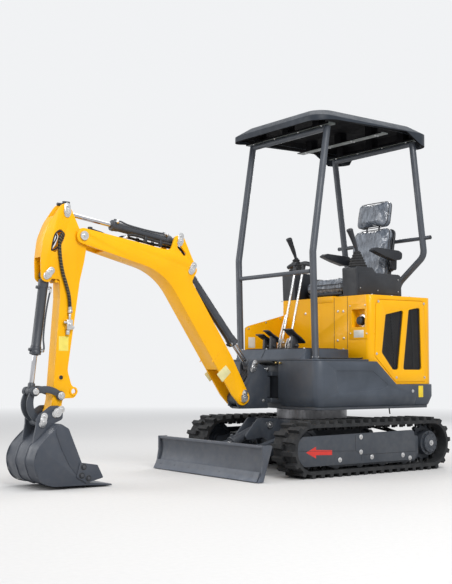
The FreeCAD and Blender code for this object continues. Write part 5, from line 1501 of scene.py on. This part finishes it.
def addPedals():
    pads, treads, legs = [], [], []
    floor, shaft, (back, down) = pedals["floor"], pedals["shaft"], pedals["thick"]
    for y, x, half, low, high in pedals["places"]:
        top = [(x + dx, low + share * (high - low)) for dx, share in pedals["curve"]]
        pads.append(plate(top + [(a + back, b + down) for a, b in reversed(top)], y - half, y + half, "Y",
                          1.6))
        for start, end in zip(top[1:], top[2:-1]):
            for share in (0.25, 0.75):
                a, b = Vector(start).lerp(Vector(end), share)
                treads.append(drum((a, y - half + 6, b + 1), (a, y + half - 6, b + 1), 3, 0.8, 10))
        under = low + 0.4 * (high - low) - 6
        leg = rounded([(x - 30, floor, 3), (x - 22, under - 6, 6), (x + 22, under + 16, 8),
                       (x + 28, floor, 3)])
        legs.append(plate(leg, y - 9, y + 9, "Y", 1.2))
        legs.append(drum((x, y - half + 4, shaft), (x, y + half - 4, shaft), 9, 1, 20))
    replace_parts(finish(pads, "pedalPads", "house", "blackPlastic", 40), "pedals")
    finish(treads, "pedalTreads", "house", "bootRubber", 40)
    finish(legs, "pedalLegs", "house", "darkBolt", 40)


console = {
    "face": 372, "panel": rounded([(-80, 1150, 10), (-80, 1290, 14), (-200, 1290, 14), (-230, 1262, 20),
                                   (-455, 1262, 14), (-455, 1150, 10)]),
    "lid": (-445, -270), "lidMiddle": 306, "lidHalf": 44, "lidLevels": (1285.6, 1288.6),
    "buttons": (-300, -345, -390), "buttonAway": 300, "buttonLevel": 1288,
    "button": [(0, 0), (12, 0), (12, 2), (8, 4), (0, 4)],
}


def addConsoleDetails():
    panels = []
    for side in flanks:
        panels.append(plateOut(console["panel"], side, console["face"] - 1.5, console["face"] + 2.2, 1.4))
        middle, half = side * console["lidMiddle"], console["lidHalf"]
        lid = boxOutline(*console["lid"], middle - half, middle + half, 12)
        panels.append(plate(lid, *console["lidLevels"], "Z", 1.2))
        y, z = side * console["buttonAway"], console["buttonLevel"]
        panels += [lathe(console["button"], (x, y, z), (x, y, z + 1), 20) for x in console["buttons"]]
    finish(panels, "consolePanels", "house", "blackPlastic", 40)


# canopy

roof = {
    "crossBars": (199, -275, -580), "barHalf": 31, "barTop": 2218, "barReach": 427, "ridgeLevel": 2251.6,
    "innerHalf": 430, "innerRear": -650, "innerFront": 318, "innerTop": 2290,
    "ridge": rounded([(320, 400, 60), (320, -400, 60), (-654, -400, 60), (-654, 400, 60)], 6),
}
postRings = [
    # profile, foot and a point above it on the left flank, steps round
    ([(22.5, 0), (27, 0), (26, 4), (22.5, 8)], (305, 380, 724.6), (306.5, 380, 760), 32),
    ([(22.5, 0), (28, 0), (26, 5), (22.5, 9)], (-610, 190, 1142), (-617, 191, 1170), 32),
    ([(14.2, 0), (17.5, 0), (16, 4), (14.2, 6)], (322, 357, 1265), (322, 350, 1265), 24),
]
railCap = {"place": (-680, 449, 1550), "profile": [(0, 0), (14.5, 0), (14.5, 3), (12, 5), (0, 5)]}


def addRoof():
    piece = softenEdges(copyNode("canopy_roof"), 4, 3, 28)
    finish(piece, "canopyRoofFinish", "house", "roof", 40)
    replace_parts(piece, "canopy_roof")
    # Faces under and inside the roof take the near-black painted shade; those on the cross bars keep the
    # bars' grey.
    for finishName in ("roofPaintedShade", "crossBars"):
        piece.data.materials.append(finishes[finishName])
    for face in piece.data.polygons:
        at, up = face.center / mm, face.normal.z
        inside = (abs(at.y) < roof["innerHalf"] and roof["innerRear"] < at.x < roof["innerFront"]
                  and at.z < roof["innerTop"] and up < 0.3)
        if inside or up < -0.3:
            onBar = any(abs(at.x - x) < roof["barHalf"] for x in roof["crossBars"])
            face.material_index = 2 if onBar and at.z < roof["barTop"] and abs(at.y) < roof["barReach"] else 1
    ridge = [(a, b, roof["ridgeLevel"]) for a, b in roof["ridge"]]
    finish(tube(ridge, 2.2, 3, cyclic=True), "roofRidge", "house", "roof", 60)


def addCanopyDetails():
    rings = [lathe(profile, *onFlank((foot, above), side), steps, ring=True)
             for side in flanks for profile, foot, above, steps in postRings]
    finish(rings, "canopyWelds", "house", "tubes", 60)
    finish([turnedOut(railCap["profile"], railCap["place"], side, 24) for side in flanks],
           "handrailCaps", "house", "blackPlastic")


stages = {
    "CAD nodes": (dressNodes,),
    "bolts, signs and welds": (addBolts, addBlankSigns, addWelds),
    "cylinders and pins": (addCylinders, addLockPlates),
    "boom, arm, bucket and blade": (addArmHose, addArmDetails, addBoomDetails, addBucketDetails,
                                    addBladeDetails),
    "tracks and swing post": (addTrackDetails, addUnderHoses, addPostDetails),
    "house": (addHoodDetails, addGrilles, addRearDetails, addFloorDetails),
    "driver's place": (addSeat, addSeatFrame, addArmrests, addJoysticks, addLevers, addPedals,
                       addConsoleDetails),
    "canopy": (addRoof, addCanopyDetails),
}
for stage, jobs in stages.items():
    for job in jobs:
        job()
    print(stage + " done")
